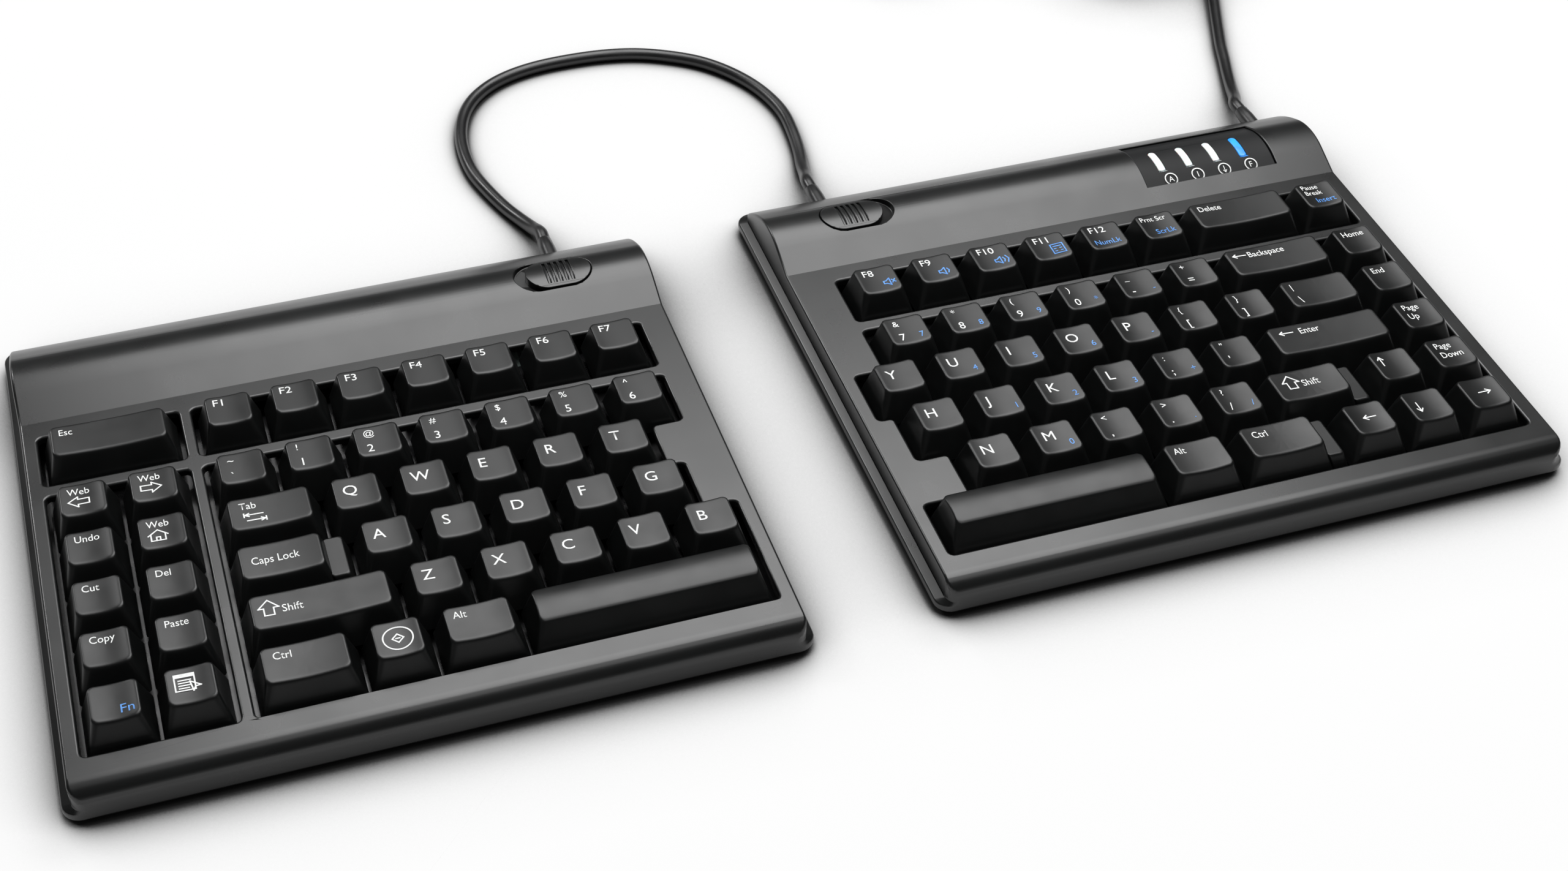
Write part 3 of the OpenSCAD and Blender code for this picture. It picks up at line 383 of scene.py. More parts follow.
def layCords():
    radius, sides = cords["diameter"] / 2, cords["sides"]
    linkPath = smoothPath(
        exitRun(cords["leftExit"]) + cords["link"] + exitRun(cords["rightExit"])[::-1], 5)
    rear = cords["plugRear"]
    leadPath = smoothPath(
        exitRun(cords["leadExit"]) + cords["lead"] + coilRoute() + cords["tail"]
        + [(rear[0] + cords["diameter"], rear[1], rear[2]), rear], 3)
    link = addPiece("link_cord", *skin(tubeRings(linkPath, radius, sides)), vinyl, sharp=50)
    lead = addPiece("usb_cord", *skin(tubeRings(leadPath, radius, sides)), vinyl, sharp=50)
    dress(link, "case", "cord_vinyl", "link_cable")
    dress(lead, "case", "cord_vinyl", "usb_lead", "usb_coil", "usb_tail")
    return link, lead, linkPath, leadPath


linkCord, leadCord, linkPath, leadPath = layCords()

# Strain reliefs: smooth sleeves that taper to the cord
relief = {
    "flangeLow": 70.43, "flange": 72.43, "end": 91.94, "radius": 2.6, "flangeRadius": 3.6, "tip": 2.35,
    "taper": 5, "nose": 0.4, "round": 0.15, "sides": 28,
}


def reliefShape(outlet, half):
    wide, body, tip, end = [relief[name] for name in ("flangeRadius", "radius", "tip", "end")]
    profile = [(relief["flangeLow"], wide), (relief["flange"], wide), (relief["flange"], body)]
    profile += [(end - relief["taper"], body), (end - relief["nose"], tip), (end, tip - relief["round"])]
    angles = [2 * math.pi * i / relief["sides"] for i in range(relief["sides"])]
    x, _, z = cords[outlet]
    return skin([[(x + r * math.sin(a), y + halves[half][1], z + r * math.cos(a)) for a in angles]
                 for y, r in profile])


def addReliefs():
    both = joined([reliefShape("leftExit", "left"), reliefShape("rightExit", "right")])
    dress(addPiece("link_reliefs", *both, vinyl, sharp=40), "case", "cord_vinyl", "link_strain_reliefs")
    lead = reliefShape("leadExit", "right")
    dress(addPiece("usb_relief", *lead, vinyl, sharp=40), "case", "cord_vinyl", "usb_strain_relief")


addReliefs()

# Tie: strap once round the coil's section, with its end lapped over the top
tie = {
    "angle": 225, "inner": 14.24, "outer": 33.0, "low": 0.5, "high": 23.0, "corner": 2.1, "width": 8,
    "thick": 0.9, "edge": 0.2, "lap": 13,
}


def addTie():
    # the strap's line runs in distances from the coil's axis and heights
    r0, r1, z0, z1, bend = tie["inner"], tie["outer"], tie["low"], tie["high"], tie["corner"]
    middle, over = (r0 + r1) / 2, z1 + tie["thick"] + 0.1
    line = [(middle - 3, z1)]
    for r, z, start in ((r1 - bend, z1 - bend, 90), (r1 - bend, z0 + bend, 0),
                        (r0 + bend, z0 + bend, -90), (r0 + bend, z1 - bend, 180)):
        angles = [math.radians(start - 15 * i) for i in range(7)]
        line += [(r + bend * math.cos(a), z + bend * math.sin(a)) for a in angles]
    line += [(middle - 6, z1), (middle - 3.5, z1 + tie["thick"] * 0.6), (middle - 1, over),
             (middle + tie["lap"] / 2, over)]
    line = np.array(line)
    heading = np.gradient(line, axis=0)
    heading /= np.linalg.norm(heading, axis=1)[:, None]
    turn = math.radians(tie["angle"])
    out = np.array((math.cos(turn), math.sin(turn), 0))
    along = np.array((-math.sin(turn), math.cos(turn), 0))
    up = np.array((0, 0, 1))
    centre = np.array((*coil["centre"], 0))
    w, t, e = tie["width"] / 2, tie["thick"] / 2, tie["edge"]
    section = [(-w, e - t), (e - w, -t), (w - e, -t), (w, e - t),
               (w, t - e), (w - e, t), (e - w, t), (-w, t - e)]
    rings = []
    for (r, z), (headOut, headUp) in zip(line, heading):
        point, normal = centre + out * r + up * z, up * headOut - out * headUp
        rings.append([point + along * a + normal * b for a, b in section])
    strap = addPiece("cord_strap", *skin(rings), tape, sharp=40)
    return dress(strap, "case", "tie_fabric", "cord_tie")


strap = addTie()

covers = {
    "deck": 13.0, "split": 6.5, "corner": 3.6, "edge": 0.9, "wellShare": 0.9, "recessShare": 0.4,
    # track: heights of the latch's track, which is painted black as shade
    "lip": (2.7, 4.6), "lipEdge": 0.5, "button": 16.2, "buttonEdge": 0.25, "track": (15.9, 17.9),
    "sides": {"left": (-48.5, 143.41), "right": (-5.3, 187.18)},  # from the half's own place
}


def mergedCopy(node, name, *materials, wanted=None):
    # a CAD node's mesh, or the wanted faces of it, as one closed surface with flat faces joined
    mesh = bpy.data.meshes.new(name)
    shape = bmesh.new()
    shape.from_mesh(frame["nodes"][node].data)
    bmesh.ops.remove_doubles(shape, verts=shape.verts, dist=0.004 * mm)
    bmesh.ops.dissolve_limit(
        shape, angle_limit=math.radians(0.4), verts=shape.verts, edges=shape.edges,
        use_dissolve_boundaries=False)
    if wanted:
        bmesh.ops.delete(shape, geom=[face for face in shape.faces if not wanted(face)], context="FACES")
        bmesh.ops.holes_fill(shape, edges=[edge for edge in shape.edges if edge.is_boundary])
        bmesh.ops.recalc_face_normals(shape, faces=shape.faces)
    for face in shape.faces:
        face.smooth = True
        face.material_index = 0
    shape.to_mesh(mesh)
    shape.free()
    mesh.materials.clear()
    for material in materials:
        mesh.materials.append(material)
    return stand(name, mesh)


def plainMesh(piece):
    # the piece's mesh with its modifiers applied
    mesh = bpy.data.meshes.new_from_object(piece.evaluated_get(bpy.context.evaluated_depsgraph_get()))
    piece.modifiers.clear()
    return mesh


def runOn(mesh, crisp):
    # lets each round start with the normal of the flat face that it runs on from
    flat = {}
    for face in mesh.polygons:
        if not face.use_smooth:
            for corner in face.vertices:
                flat.setdefault(corner, []).append(face.normal.copy())
    normals = [corner.vector.copy() for corner in mesh.corner_normals]
    for face in mesh.polygons:
        for place, corner in zip(face.loop_indices, face.vertices):
            for normal in flat.get(corner, []):
                if face.use_smooth and normal.angle(face.normal) < crisp:
                    normals[place] = normal
    mesh.normals_split_custom_set(normals)


def softenEdges(piece, pick, width, segments, crisp):
    # rounds each edge to the share of the width that pick gives; edges above the crisp angle stay creases
    shape = bmesh.new()
    shape.from_mesh(piece.data)
    weights = shape.edges.layers.float.new("bevel_weight_edge")
    for edge in shape.edges:
        if len(edge.link_faces) == 2:
            edge[weights] = float(pick(edge, math.degrees(edge.calc_face_angle(0))))
    shape.to_mesh(piece.data)
    shape.free()
    bevel = piece.modifiers.new("edges", "BEVEL")
    bevel.limit_method = "WEIGHT"
    bevel.width = width * mm
    bevel.segments = segments
    bevel.use_clamp_overlap = False
    rounded = plainMesh(piece)
    rounded.set_sharp_from_angle(angle=math.radians(crisp))
    for face in rounded.polygons:
        level = abs(face.normal.z) > 0.9999 and face.center.z < covers["deck"] * 1.01 * mm
        if level or max(abs(face.normal.x), abs(face.normal.y)) > 0.9999:
            face.use_smooth = False  # decks and walls stay dead flat
    piece.data = rounded
    flatten = piece.modifiers.new("normals", "WEIGHTED_NORMAL")  # keeps slopes flat beside the rounds
    flatten.keep_sharp = True
    flatten.weight = 80
    piece.data = plainMesh(piece)
    piece.data.name = piece.name
    runOn(piece.data, math.radians(crisp))


def addPlug():
    pieces = []
    for node, name, finish, slot, edge in (
            ("usb_plug_body", "plug_grip", vinyl, "cord_vinyl", "gripEdge"),
            ("usb_plug_shell", "plug_shell", shellSteel, "plug_steel", "shellEdge")):
        piece = mergedCopy(node, name, finish)
        softenEdges(piece, lambda _, angle: angle > 50, cords[edge], 2, 35)
        pieces.append(dress(piece, "case", slot, node))
    return pieces


plugGrip, plugShell = addPlug()
print("cords laid")

# Keys: dished caps, crowned space bars and stepped caps, set out in rows
caps = {
    "pitch": 19.05, "functionGap": 6.2, "commandGap": 5.1, "gap": 0.9, "low": 9.6, "top": 19.2,
    "sideInset": 2.9, "frontInset": 4.2, "barFrontInset": 5.6, "rearInset": 1.6, "topCorner": 1.8,
    "skirtCorner": 1.0, "dish": 0.55, "crown": 0.7, "wall": 1.3, "roof": 1.45, "edge": 0.6, "barEdge": 0.4,
    "ledgeDrop": 4.0, "ledgeEdge": 0.5, "ledgeCorner": 0.9, "plunger": 6.4, "plungerLow": 9.0,
    "plungerEdge": 0.3, "plungerRise": 0.7,
}
# rows of each node: centre of the first key in pitches, row, count, width, raised width, "down" for a column
keyRows = {
    "escape_key": ("left", [(-1, -1, 1, 2)]),
    "left_function_keys": ("left", [(0.5, -1, 7, 1)]),
    "outer_command_keys": ("left", [(-1.5, 0, 5, 1, 1, "down")]),
    "inner_command_keys": ("left", [(-0.5, 0, 5, 1, 1, "down")]),
    "left_number_keys": ("left", [(0.5, 0, 7, 1)]),
    "tab_key": ("left", [(0.75, 1, 1, 1.5)]),
    "left_upper_letter_keys": ("left", [(2, 1, 5, 1)]),
    "caps_lock_key": ("left", [(0.875, 2, 1, 1.75, 1.5)]),
    "left_home_letter_keys": ("left", [(2.25, 2, 5, 1)]),
    "left_shift_key": ("left", [(1.125, 3, 1, 2.25)]),
    "left_lower_letter_keys": ("left", [(2.75, 3, 5, 1)]),
    "left_control_key": ("left", [(0.75, 4, 1, 1.5)]),
    "system_key": ("left", [(2, 4, 1, 1)]),
    "left_alt_key": ("left", [(3.125, 4, 1, 1.25)]),
    "left_space_bar": ("left", [(5.5, 4, 1, 3.5)]),
    "right_function_keys": ("right", [(1, -1, 6, 1)]),
    "delete_key": ("right", [(7.5, -1, 1, 2)]),
    "pause_key": ("right", [(9, -1, 1, 1)]),
    "right_number_keys": ("right", [(1, 0, 6, 1)]),
    "backspace_key": ("right", [(7.5, 0, 1, 2)]),
    "right_upper_letter_keys": ("right", [(0.5, 1, 7, 1)]),
    "backslash_key": ("right", [(7.75, 1, 1, 1.5)]),
    "right_home_letter_keys": ("right", [(0.75, 2, 6, 1)]),
    "enter_key": ("right", [(7.375, 2, 1, 2.25)]),
    "right_lower_letter_keys": ("right", [(1.25, 3, 5, 1)]),
    "right_shift_key": ("right", [(6.625, 3, 1, 1.75, 1.5)]),
    "right_space_bar": ("right", [(1.75, 4, 1, 3.5)]),
    "right_alt_key": ("right", [(4.125, 4, 1, 1.25)]),
    "right_control_key": ("right", [(5.625, 4, 1, 1.75, 1.5)]),
    "navigation_keys": ("right", [(9, 0, 4, 1, 1, "down")]),
    "arrow_keys": ("right", [(8, 3, 1, 1), (7, 4, 3, 1)]),
}
capReach = (caps["pitch"] - caps["gap"]) / 2  # from a key's centre to the front and rear of its skirt


def keyCentre(half, unit, row):
    x = unit * caps["pitch"] - (caps["commandGap"] if unit < 0 else 0)
    y = caps["pitch"] + caps["functionGap"] if row < 0 else -row * caps["pitch"]
    return halves[half][0] + x, halves[half][1] + y


def eachKey(node):
    # centre, width and raised width of each key of a node
    half, rows = keyRows[node]
    for unit, row, count, width, *rest in rows:
        for i in range(count):
            down = "down" in rest
            x, y = keyCentre(half, unit if down else unit + i, row + i if down else row)
            yield x, y, width, rest[0] if rest else width


def roundedOutline(left, right, front, rear, corner):
    # anticlockwise from above; the sides carry points so that a dish shows along the edge
    corners = [(right - corner, front + corner, -90), (right - corner, rear - corner, 0),
               (left + corner, rear - corner, 90), (left + corner, front + corner, 180)]
    points = []
    for k, (x, y, start) in enumerate(corners):
        for i in range(6):
            angle = math.radians(start + 18 * i)
            points.append((x + corner * math.cos(angle), y + corner * math.sin(angle)))
        nextX, nextY, nextStart = corners[(k + 1) % 4]
        goalX = nextX + corner * math.cos(math.radians(nextStart))
        goalY = nextY + corner * math.sin(math.radians(nextStart))
        fromX, fromY = points[-1]
        points += [(fromX + (goalX - fromX) * s, fromY + (goalY - fromY) * s)
                   for s in (0.05, 0.16, 0.32, 0.5, 0.68, 0.84, 0.95)]
    return np.array(points)


def frontInset(bar):
    return caps["barFrontInset" if bar else "frontInset"]


def capOutline(left, right, bar, rise, inset=0.0):
    # a cap's section at a share of its height
    side = caps["gap"] / 2 + caps["sideInset"] * rise + inset
    corner = caps["skirtCorner"] + (caps["topCorner"] - caps["skirtCorner"]) * rise
    return roundedOutline(
        left + side, right - side, -capReach + frontInset(bar) * rise + inset,
        capReach - caps["rearInset"] * rise - inset, max(0.25, corner - inset * 0.8))


def topShape(left, right, bar):
    # height of a cap's top over its plan
    if bar:
        front, rear = -capReach + frontInset(bar), capReach - caps["rearInset"]
        half, rise, middle = (rear - front) / 2, caps["crown"], (front + rear) / 2
        bend = (half ** 2 + rise ** 2) / (2 * rise)
        return lambda x, y: caps["top"] - bend + np.sqrt(np.maximum(0, bend ** 2 - (y - middle) ** 2))
    half, dip, middle = (right - left - caps["gap"]) / 2 - caps["sideInset"], caps["dish"], (left + right) / 2
    bend = (half ** 2 + dip ** 2) / (2 * dip)
    base = caps["top"] - dip + bend
    return lambda x, y: base - np.sqrt(bend ** 2 - np.minimum(np.abs(x - middle), half) ** 2)


def withHeight(plan, height):
    return np.column_stack((plan, np.broadcast_to(height, len(plan))))


def rounding(outer, rim, inner, steps):
    # rings of a round from the wall over the rim to the top
    return [outer * (1 - t) ** 2 + rim * 2 * t * (1 - t) + inner * t ** 2 for t in np.linspace(0, 1, steps)]


def ceilingHeight(bar):
    return caps["top"] - caps["roof"] - (caps["crown"] if bar else caps["dish"])


def capRings(left, right, bar):
    low, tall = caps["low"], caps["top"] - caps["low"]
    shape = topShape(left, right, bar)
    foot, head = capOutline(left, right, bar, 0), capOutline(left, right, bar, 1)
    share = np.ones(len(foot))
    for _ in range(8):
        plan = foot + (head - foot) * share[:, None]
        share = (shape(plan[:, 0], plan[:, 1]) - low) / tall
    edge = caps["barEdge" if bar else "edge"]

    def wallRing(drop):
        s = share - drop / tall
        return withHeight(foot + (head - foot) * s[:, None], low + tall * s)

    def topRing(plan):
        return withHeight(plan, shape(plan[:, 0], plan[:, 1]))

    inner = topRing(capOutline(left, right, bar, 1, edge))
    ceiling = (ceilingHeight(bar) - low) / tall
    hollowTop = withHeight(capOutline(left, right, bar, ceiling, caps["wall"]), low + tall * ceiling)
    hollowFoot = withHeight(capOutline(left, right, bar, 0, caps["wall"]), low)
    rings = [hollowTop, hollowFoot, withHeight(foot, low), wallRing(edge + 0.5)]
    rings += rounding(wallRing(edge), wallRing(0), inner, 6)
    field = capOutline(left, right, bar, 1, edge + 0.5)
    centre = field.mean(axis=0)
    rings += [topRing(centre + (field - centre) * s) for s in (1, 0.8, 0.6, 0.4, 0.2, 0.05)]
    return rings


def ledgeRings(raised, right):
    # lower shelf beside the raised part of a stepped cap
    low, tall = caps["low"], caps["top"] - caps["low"]
    top = (tall - caps["ledgeDrop"]) / tall

    def section(rise, inset):
        side = caps["gap"] / 2 + caps["sideInset"] * rise
        plan = roundedOutline(
            raised - side - 0.3, right - side - inset, -capReach + caps["frontInset"] * rise + 0.01 + inset,
            capReach - caps["rearInset"] * rise - 0.01 - inset, caps["ledgeCorner"])
        return withHeight(plan, low + tall * rise)

    edge = caps["ledgeEdge"]
    rings = [section(0, 0), section(top - 2 * edge / tall, 0)]
    rings += rounding(section(top - edge / tall, 0), section(top, 0), section(top, edge), 5)
    return rings + [section(top, 2 * edge)]


def plungerRings(height, setback):
    angles = [2 * math.pi * i / 20 for i in range(20)]
    radius, low, edge = caps["plunger"] / 2, caps["plungerLow"], caps["plungerEdge"]
    profile = [(low, radius - edge), (low + edge, radius), (height, radius)]
    return [[(r * math.cos(a), setback + r * math.sin(a), z) for a in angles] for z, r in profile]


def addCap(width, raisedWidth):
    half = width * caps["pitch"] / 2
    raised = raisedWidth * caps["pitch"] - half if raisedWidth < width else half
    bar = width > 3
    shapes = [skin(capRings(-half, raised, bar), "point", "point")]
    stem = plungerRings(ceilingHeight(bar) + caps["plungerRise"], frontInset(bar) - caps["frontInset"])
    shapes.append(skin(stem))
    if raised < half:
        shapes.append(skin(ledgeRings(raised, half)))
    cap = addPiece("cap_%d" % round(width * 100 + raisedWidth), *joined(shapes), keyFinish, sharp=48)
    for face in cap.data.polygons:
        if face.normal.z > 0.9999:
            face.use_smooth = False  # the shelf of a stepped cap
    return cap


def keyRowTree():
    tree = bpy.data.node_groups.new("keyRow", "GeometryNodeTree")
    tree.interface.new_socket("Geometry", in_out="INPUT", socket_type="NodeSocketGeometry")
    kinds = {"Count": "Int", "First": "Vector", "Step": "Vector", "Cap": "Object", "Plastic": "Material"}
    for name, kind in kinds.items():
        tree.interface.new_socket(name, in_out="INPUT", socket_type="NodeSocket" + kind)
    tree.interface.new_socket("Geometry", in_out="OUTPUT", socket_type="NodeSocketGeometry")
    given = addNode(tree, "NodeGroupInput").outputs
    line = addNode(tree, "GeometryNodeMeshLine", {
        "Count": given["Count"], "Start Location": given["First"], "Offset": given["Step"]})
    cap = addNode(tree, "GeometryNodeObjectInfo", {"Object": given["Cap"]})
    row = addNode(tree, "GeometryNodeInstanceOnPoints", {
        "Points": line.outputs[0], "Instance": cap.outputs["Geometry"]})
    real = addNode(tree, "GeometryNodeRealizeInstances", {"Geometry": row.outputs[0]})
    painted = addNode(tree, "GeometryNodeSetMaterial", {
        "Geometry": real.outputs[0], "Material": given["Plastic"]})
    addNode(tree, "NodeGroupOutput", {"Geometry": painted.outputs[0]})
    return tree


def runTree(tree, values):
    carrier = stand("carrier", bpy.data.meshes.new("carrier"))
    modifier = carrier.modifiers.new("row", "NODES")
    modifier.node_group = tree
    for socket in tree.interface.items_tree:
        if socket.in_out == "INPUT" and socket.name in values:
            modifier[socket.identifier] = values[socket.name]
    mesh = plainMesh(carrier)
    bpy.data.objects.remove(carrier)
    return mesh


def setOutKeys():
    tree = keyRowTree()
    masters = {}
    for node, (half, rows) in keyRows.items():
        shape = bmesh.new()
        for unit, row, count, width, *rest in rows:
            kind = (width, rest[0] if rest else width)
            if kind not in masters:
                masters[kind] = addCap(*kind)
            x, y = keyCentre(half, unit, row)
            step = (0, -caps["pitch"] * mm, 0) if "down" in rest else (caps["pitch"] * mm, 0, 0)
            shape.from_mesh(runTree(tree, {
                "Count": count, "First": (x * mm, y * mm, 0), "Step": step, "Cap": masters[kind],
                "Plastic": keyFinish}))
        mesh = bpy.data.meshes.new(node + "_caps")
        shape.to_mesh(mesh)
        shape.free()
        mesh.materials.append(keyFinish)
        dress(stand(node + "_caps", mesh), bodyOf[node], "key_plastic", node)
    for master in masters.values():
        bpy.data.objects.remove(master)


setOutKeys()
print("keys set out:", len(keyRows), "nodes")

# Domes: the sheet that carries them all, and the domes below each row of keys as a piece of their own
domes = {"foot": 4.3, "folded": 0.18}  # height of the sheet's top, and the share of a dome's height left


def addDomes(half):
    sheet = half + "_dome_sheet"
    for part in [half] + [node for node in keyRows if keyRows[node][0] == half]:
        spots = [Vector((x, y)) for x, y, *_ in eachKey(part)] if part in keyRows else []

        def wanted(face):
            centre = face.calc_center_median() / mm
            if centre.z < domes["foot"] + 0.1:
                return part == half
            return any((spot - centre.xy).length < caps["pitch"] / 2 for spot in spots)

        piece = mergedCopy(sheet, part + "_domes", rubber, wanted=wanted)
        piece.data.set_sharp_from_angle(angle=math.radians(35))
        dress(piece, "case", "dome_rubber", sheet)
        if spots:
            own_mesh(piece)


addDomes("left")
addDomes("right")
print("domes fitted")

# Legends: printed words and signs. A mark is a word, or a text with its style, or a text or sign with its
# place in millimetres from the rear left corner of the key's top, and a text's height.
legends = {
    "lift": 0.06, "stroke": 0.38, "narrow": 0.83,
    "capitals": 0.682,  # height of the built-in face's capitals, as a share of its size
    # height, narrowing and place of each style; the small blue ones are placed from the front right corner
    "styles": {
        "letter": (3.7, 0.97, 2.3, 3.5),
        "function": (2.8, 0.97, 1.9, 1.6),
        "upper": (2.4, 0.92, 2.5, 1.8),
        "lower": (3.0, 0.92, 2.7, 7.7),
        "word": (2.45, 0.83, 2.2, 1.9),
        "secondWord": (2.45, 0.83, 2.2, 6.0),
        "wideWord": (2.5, 0.83, 2.9, 2.2),
        "middleWord": (2.7, 0.76, 2.9, 4.8),
        "sub": (2.3, 0.86, 1.9, 1.9),
        "wideSub": (2.8, 1.0, 1.5, 1.7),
    },
}


def digitPairs(*pairs):
    return [[(a, "upper"), (b, "lower")] + [(c, "sub") for c in rest] for a, b, *rest in pairs]


def letterKeys(letters):
    return [[(text[0], "letter")] + [(c, "sub") for c in text[1:]] for text in letters]


keyMarks = {
    "escape_key": [["Esc"]],
    "left_function_keys": [[("F%d" % i, "function")] for i in range(1, 8)],
    "outer_command_keys": [
        ["Web", ("arrowLeft", 5.2, 7.2)], ["Undo"], ["Cut"], ["Copy"], [("Fn", "wideSub")]],
    "inner_command_keys": [
        ["Web", ("arrowRight", 5.2, 7.2)], ["Web", ("house", 4.9, 7.6)], ["Del"], ["Paste"],
        [("list", 5.2, 5.6)]],
    "left_number_keys": digitPairs("~`", "!1", "@2", "#3", "$4", "%5", "^6"),
    "tab_key": [[("Tab", "wideWord"), ("tabArrows", 6.7, 8.2)]],
    "left_upper_letter_keys": letterKeys("QWERT"),
    "caps_lock_key": [[("Caps Lock", "middleWord")]],
    "left_home_letter_keys": letterKeys("ASDFG"),
    "left_shift_key": [[("arrowUp", 4.7, 5.3), ("Shift", 8.0, 4.9, 2.6)]],
    "left_lower_letter_keys": letterKeys("ZXCVB"),
    "left_control_key": [[("Ctrl", "wideWord")]],
    "system_key": [[("ringDiamond", 6.2, 6.4)]],
    "left_alt_key": [["Alt"]],
    "right_function_keys": [
        [("F8", "function"), ("mute", 9.0, 8.3)], [("F9", "function"), ("speaker", 8.6, 8.3)],
        [("F10", "function"), ("speakerLoud", 8.6, 8.3)], [("F11", "function"), ("calculator", 8.6, 8.0)],
        [("F12", "function"), ("NumLk", "sub")], [("Prnt Scr", 0.9, 1.7, 2.2), ("ScrLk", "sub")]],
    "delete_key": [["Delete"]],
    "pause_key": [[("Pause", 1.6, 1.2, 2.1), ("Break", 1.6, 4.2, 2.1), ("Insert", "sub")]],
    "right_number_keys": digitPairs("&77", "*88", "(99", ")0*", "_--", "+="),
    "backspace_key": [[("arrowThinLeft", 4.2, 3.3), ("Backspace", 7.0, 2.1, 2.5)]],
    "right_upper_letter_keys": letterKeys(["Y", "U4", "I5", "O6", "P-"]) + digitPairs("{[", "}]"),
    "backslash_key": digitPairs("|\\"),
    "right_home_letter_keys": letterKeys(["H", "J1", "K2", "L3"]) + digitPairs(":;+", "\"'"),
    "enter_key": [[("arrowThinLeft", 5.4, 3.4), ("Enter", 9.6, 2.2, 2.5)]],
    "right_lower_letter_keys": letterKeys(["N", "M0"]) + digitPairs("<,", ">..", "?//"),
    "right_shift_key": [[("arrowUp", 5.6, 5.0), ("Shift", 8.8, 4.7, 2.6)]],
    "right_alt_key": [["Alt"]],
    "right_control_key": [[("Ctrl", "wideWord")]],
    "navigation_keys": [["Home"], ["End"], ["Page", ("Up", "secondWord")], ["Page", ("Down", "secondWord")]],
    "arrow_keys": [
        [("pointUp", 2.8, 4.4)], [("pointLeft", 6.3, 6.1)], [("pointDown", 3.2, 6.6)],
        [("pointRight", 6.3, 6.1)]],
}


def circle(radius, parts):
    angles = [2 * math.pi * i / parts for i in range(parts + 1)]
    return [(radius * math.cos(a), radius * math.sin(a)) for a in angles]


def speaker(x):
    # outline of a loudspeaker with its mouth at x
    return [(x - 2, 0.6), (x - 1.2, 0.6), (x, 1.6), (x, -1.6), (x - 1.2, -0.6), (x - 2, -0.6), (x - 2, 0.6)]


# outlines of the signs, in millimetres round their centres; closed ones repeat their first point
signs = {
    "arrowLeft": [[(-3, 0), (-0.4, 2), (-0.4, 1), (2.6, 1), (2.6, -1), (-0.4, -1), (-0.4, -2), (-3, 0)]],
    "arrowRight": [[(3, 0), (0.4, 2), (0.4, 1), (-2.6, 1), (-2.6, -1), (0.4, -1), (0.4, -2), (3, 0)]],
    "arrowUp": [[(0, 2.9), (2.7, 0), (1.3, 0), (1.3, -2.6), (-1.3, -2.6), (-1.3, 0), (-2.7, 0), (0, 2.9)]],
    "house": [[(-2.6, 0), (0, 2.2), (2.6, 0)], [(-1.9, 0.4), (-1.9, -2), (1.9, -2), (1.9, 0.4)],
              [(-0.5, -2), (-0.5, -0.6), (0.5, -0.6), (0.5, -2)]],
    "list": [[(-3, 3), (2, 3), (2, -2.6), (-3, -2.6), (-3, 3)], [(-3, 2.7), (2, 2.7)], [(-3, 2.4), (2, 2.4)],
             [(-3, 2.1), (2, 2.1)], [(-2, 1), (1, 1)], [(-2, 0.1), (1, 0.1)], [(-2, -0.8), (1, -0.8)],
             [(-2, -1.7), (0.4, -1.7)], [(0.8, 0.4), (3.4, -1.6), (2, -1.7), (1.4, -3), (0.8, 0.4)]],
    "tabArrows": [
        [(-2.9, 1.1), (2.2, 1.1)], [(-1.6, 1.7), (-2.7, 1.1), (-1.6, 0.5)], [(-2.9, 1.8), (-2.9, 0.4)],
        [(-2.2, -1.1), (2.9, -1.1)], [(1.6, -1.7), (2.7, -1.1), (1.6, -0.5)], [(2.9, -1.8), (2.9, -0.4)]],
    "arrowThinLeft": [[(-2.2, 0), (2.2, 0)], [(-1.1, 0.8), (-2.2, 0), (-1.1, -0.8)]],
    "pointUp": [[(0, -1.9), (0, 1.9)], [(-0.9, 0.7), (0, 1.9), (0.9, 0.7)]],
    "pointDown": [[(0, 1.9), (0, -1.9)], [(-0.9, -0.7), (0, -1.9), (0.9, -0.7)]],
    "pointLeft": [[(1.9, 0), (-1.9, 0)], [(-0.7, 0.9), (-1.9, 0), (-0.7, -0.9)]],
    "pointRight": [[(-1.9, 0), (1.9, 0)], [(0.7, 0.9), (1.9, 0), (0.7, -0.9)]],
    "mute": [speaker(0.4), [(1, 0.7), (2, -0.7)], [(1, -0.7), (2, 0.7)]],
    "speaker": [speaker(0), [(0.8, 1), (1.2, 0), (0.8, -1)]],
    "speakerLoud": [speaker(-0.3), [(0.5, 1), (0.9, 0), (0.5, -1)], [(1.5, 1.6), (2.1, 0), (1.5, -1.6)]],
    "calculator": [
        [(-2, 2.2), (2, 2.2), (2, -2.2), (-2, -2.2), (-2, 2.2)], [(-1.2, 1.2), (1.2, 1.2)],
        [(-1.2, 0.1), (-0.7, 0.1)], [(0.7, 0.1), (1.2, 0.1)], [(-1.2, -1.1), (-0.7, -1.1)],
        [(0.7, -1.1), (1.2, -1.1)]],
    "ringDiamond": [
        circle(3.9, 36), [(-1.5, 0), (0, 1.5), (1.5, 0), (0, -1.5), (-1.5, 0)], [(-0.5, 0), (0.5, 0)]],
}
blueSigns = ("mute", "speaker", "speakerLoud", "calculator")


def textShape(text, height, narrow):
    # flat glyphs with their cap height set and their width narrowed, from the left end of the base line
    curve = bpy.data.curves.new("words", "FONT")
    curve.body = text
    curve.size = height / legends["capitals"]
    curve.resolution_u = 3
    holder = bpy.data.objects.new("words", curve)
    mesh = bpy.data.meshes.new_from_object(holder)
    points = np.array([v.co[:2] for v in mesh.vertices]) * (narrow, 1)
    faces = [tuple(p.vertices) for p in mesh.polygons]
    bpy.data.objects.remove(holder)
    return points, faces


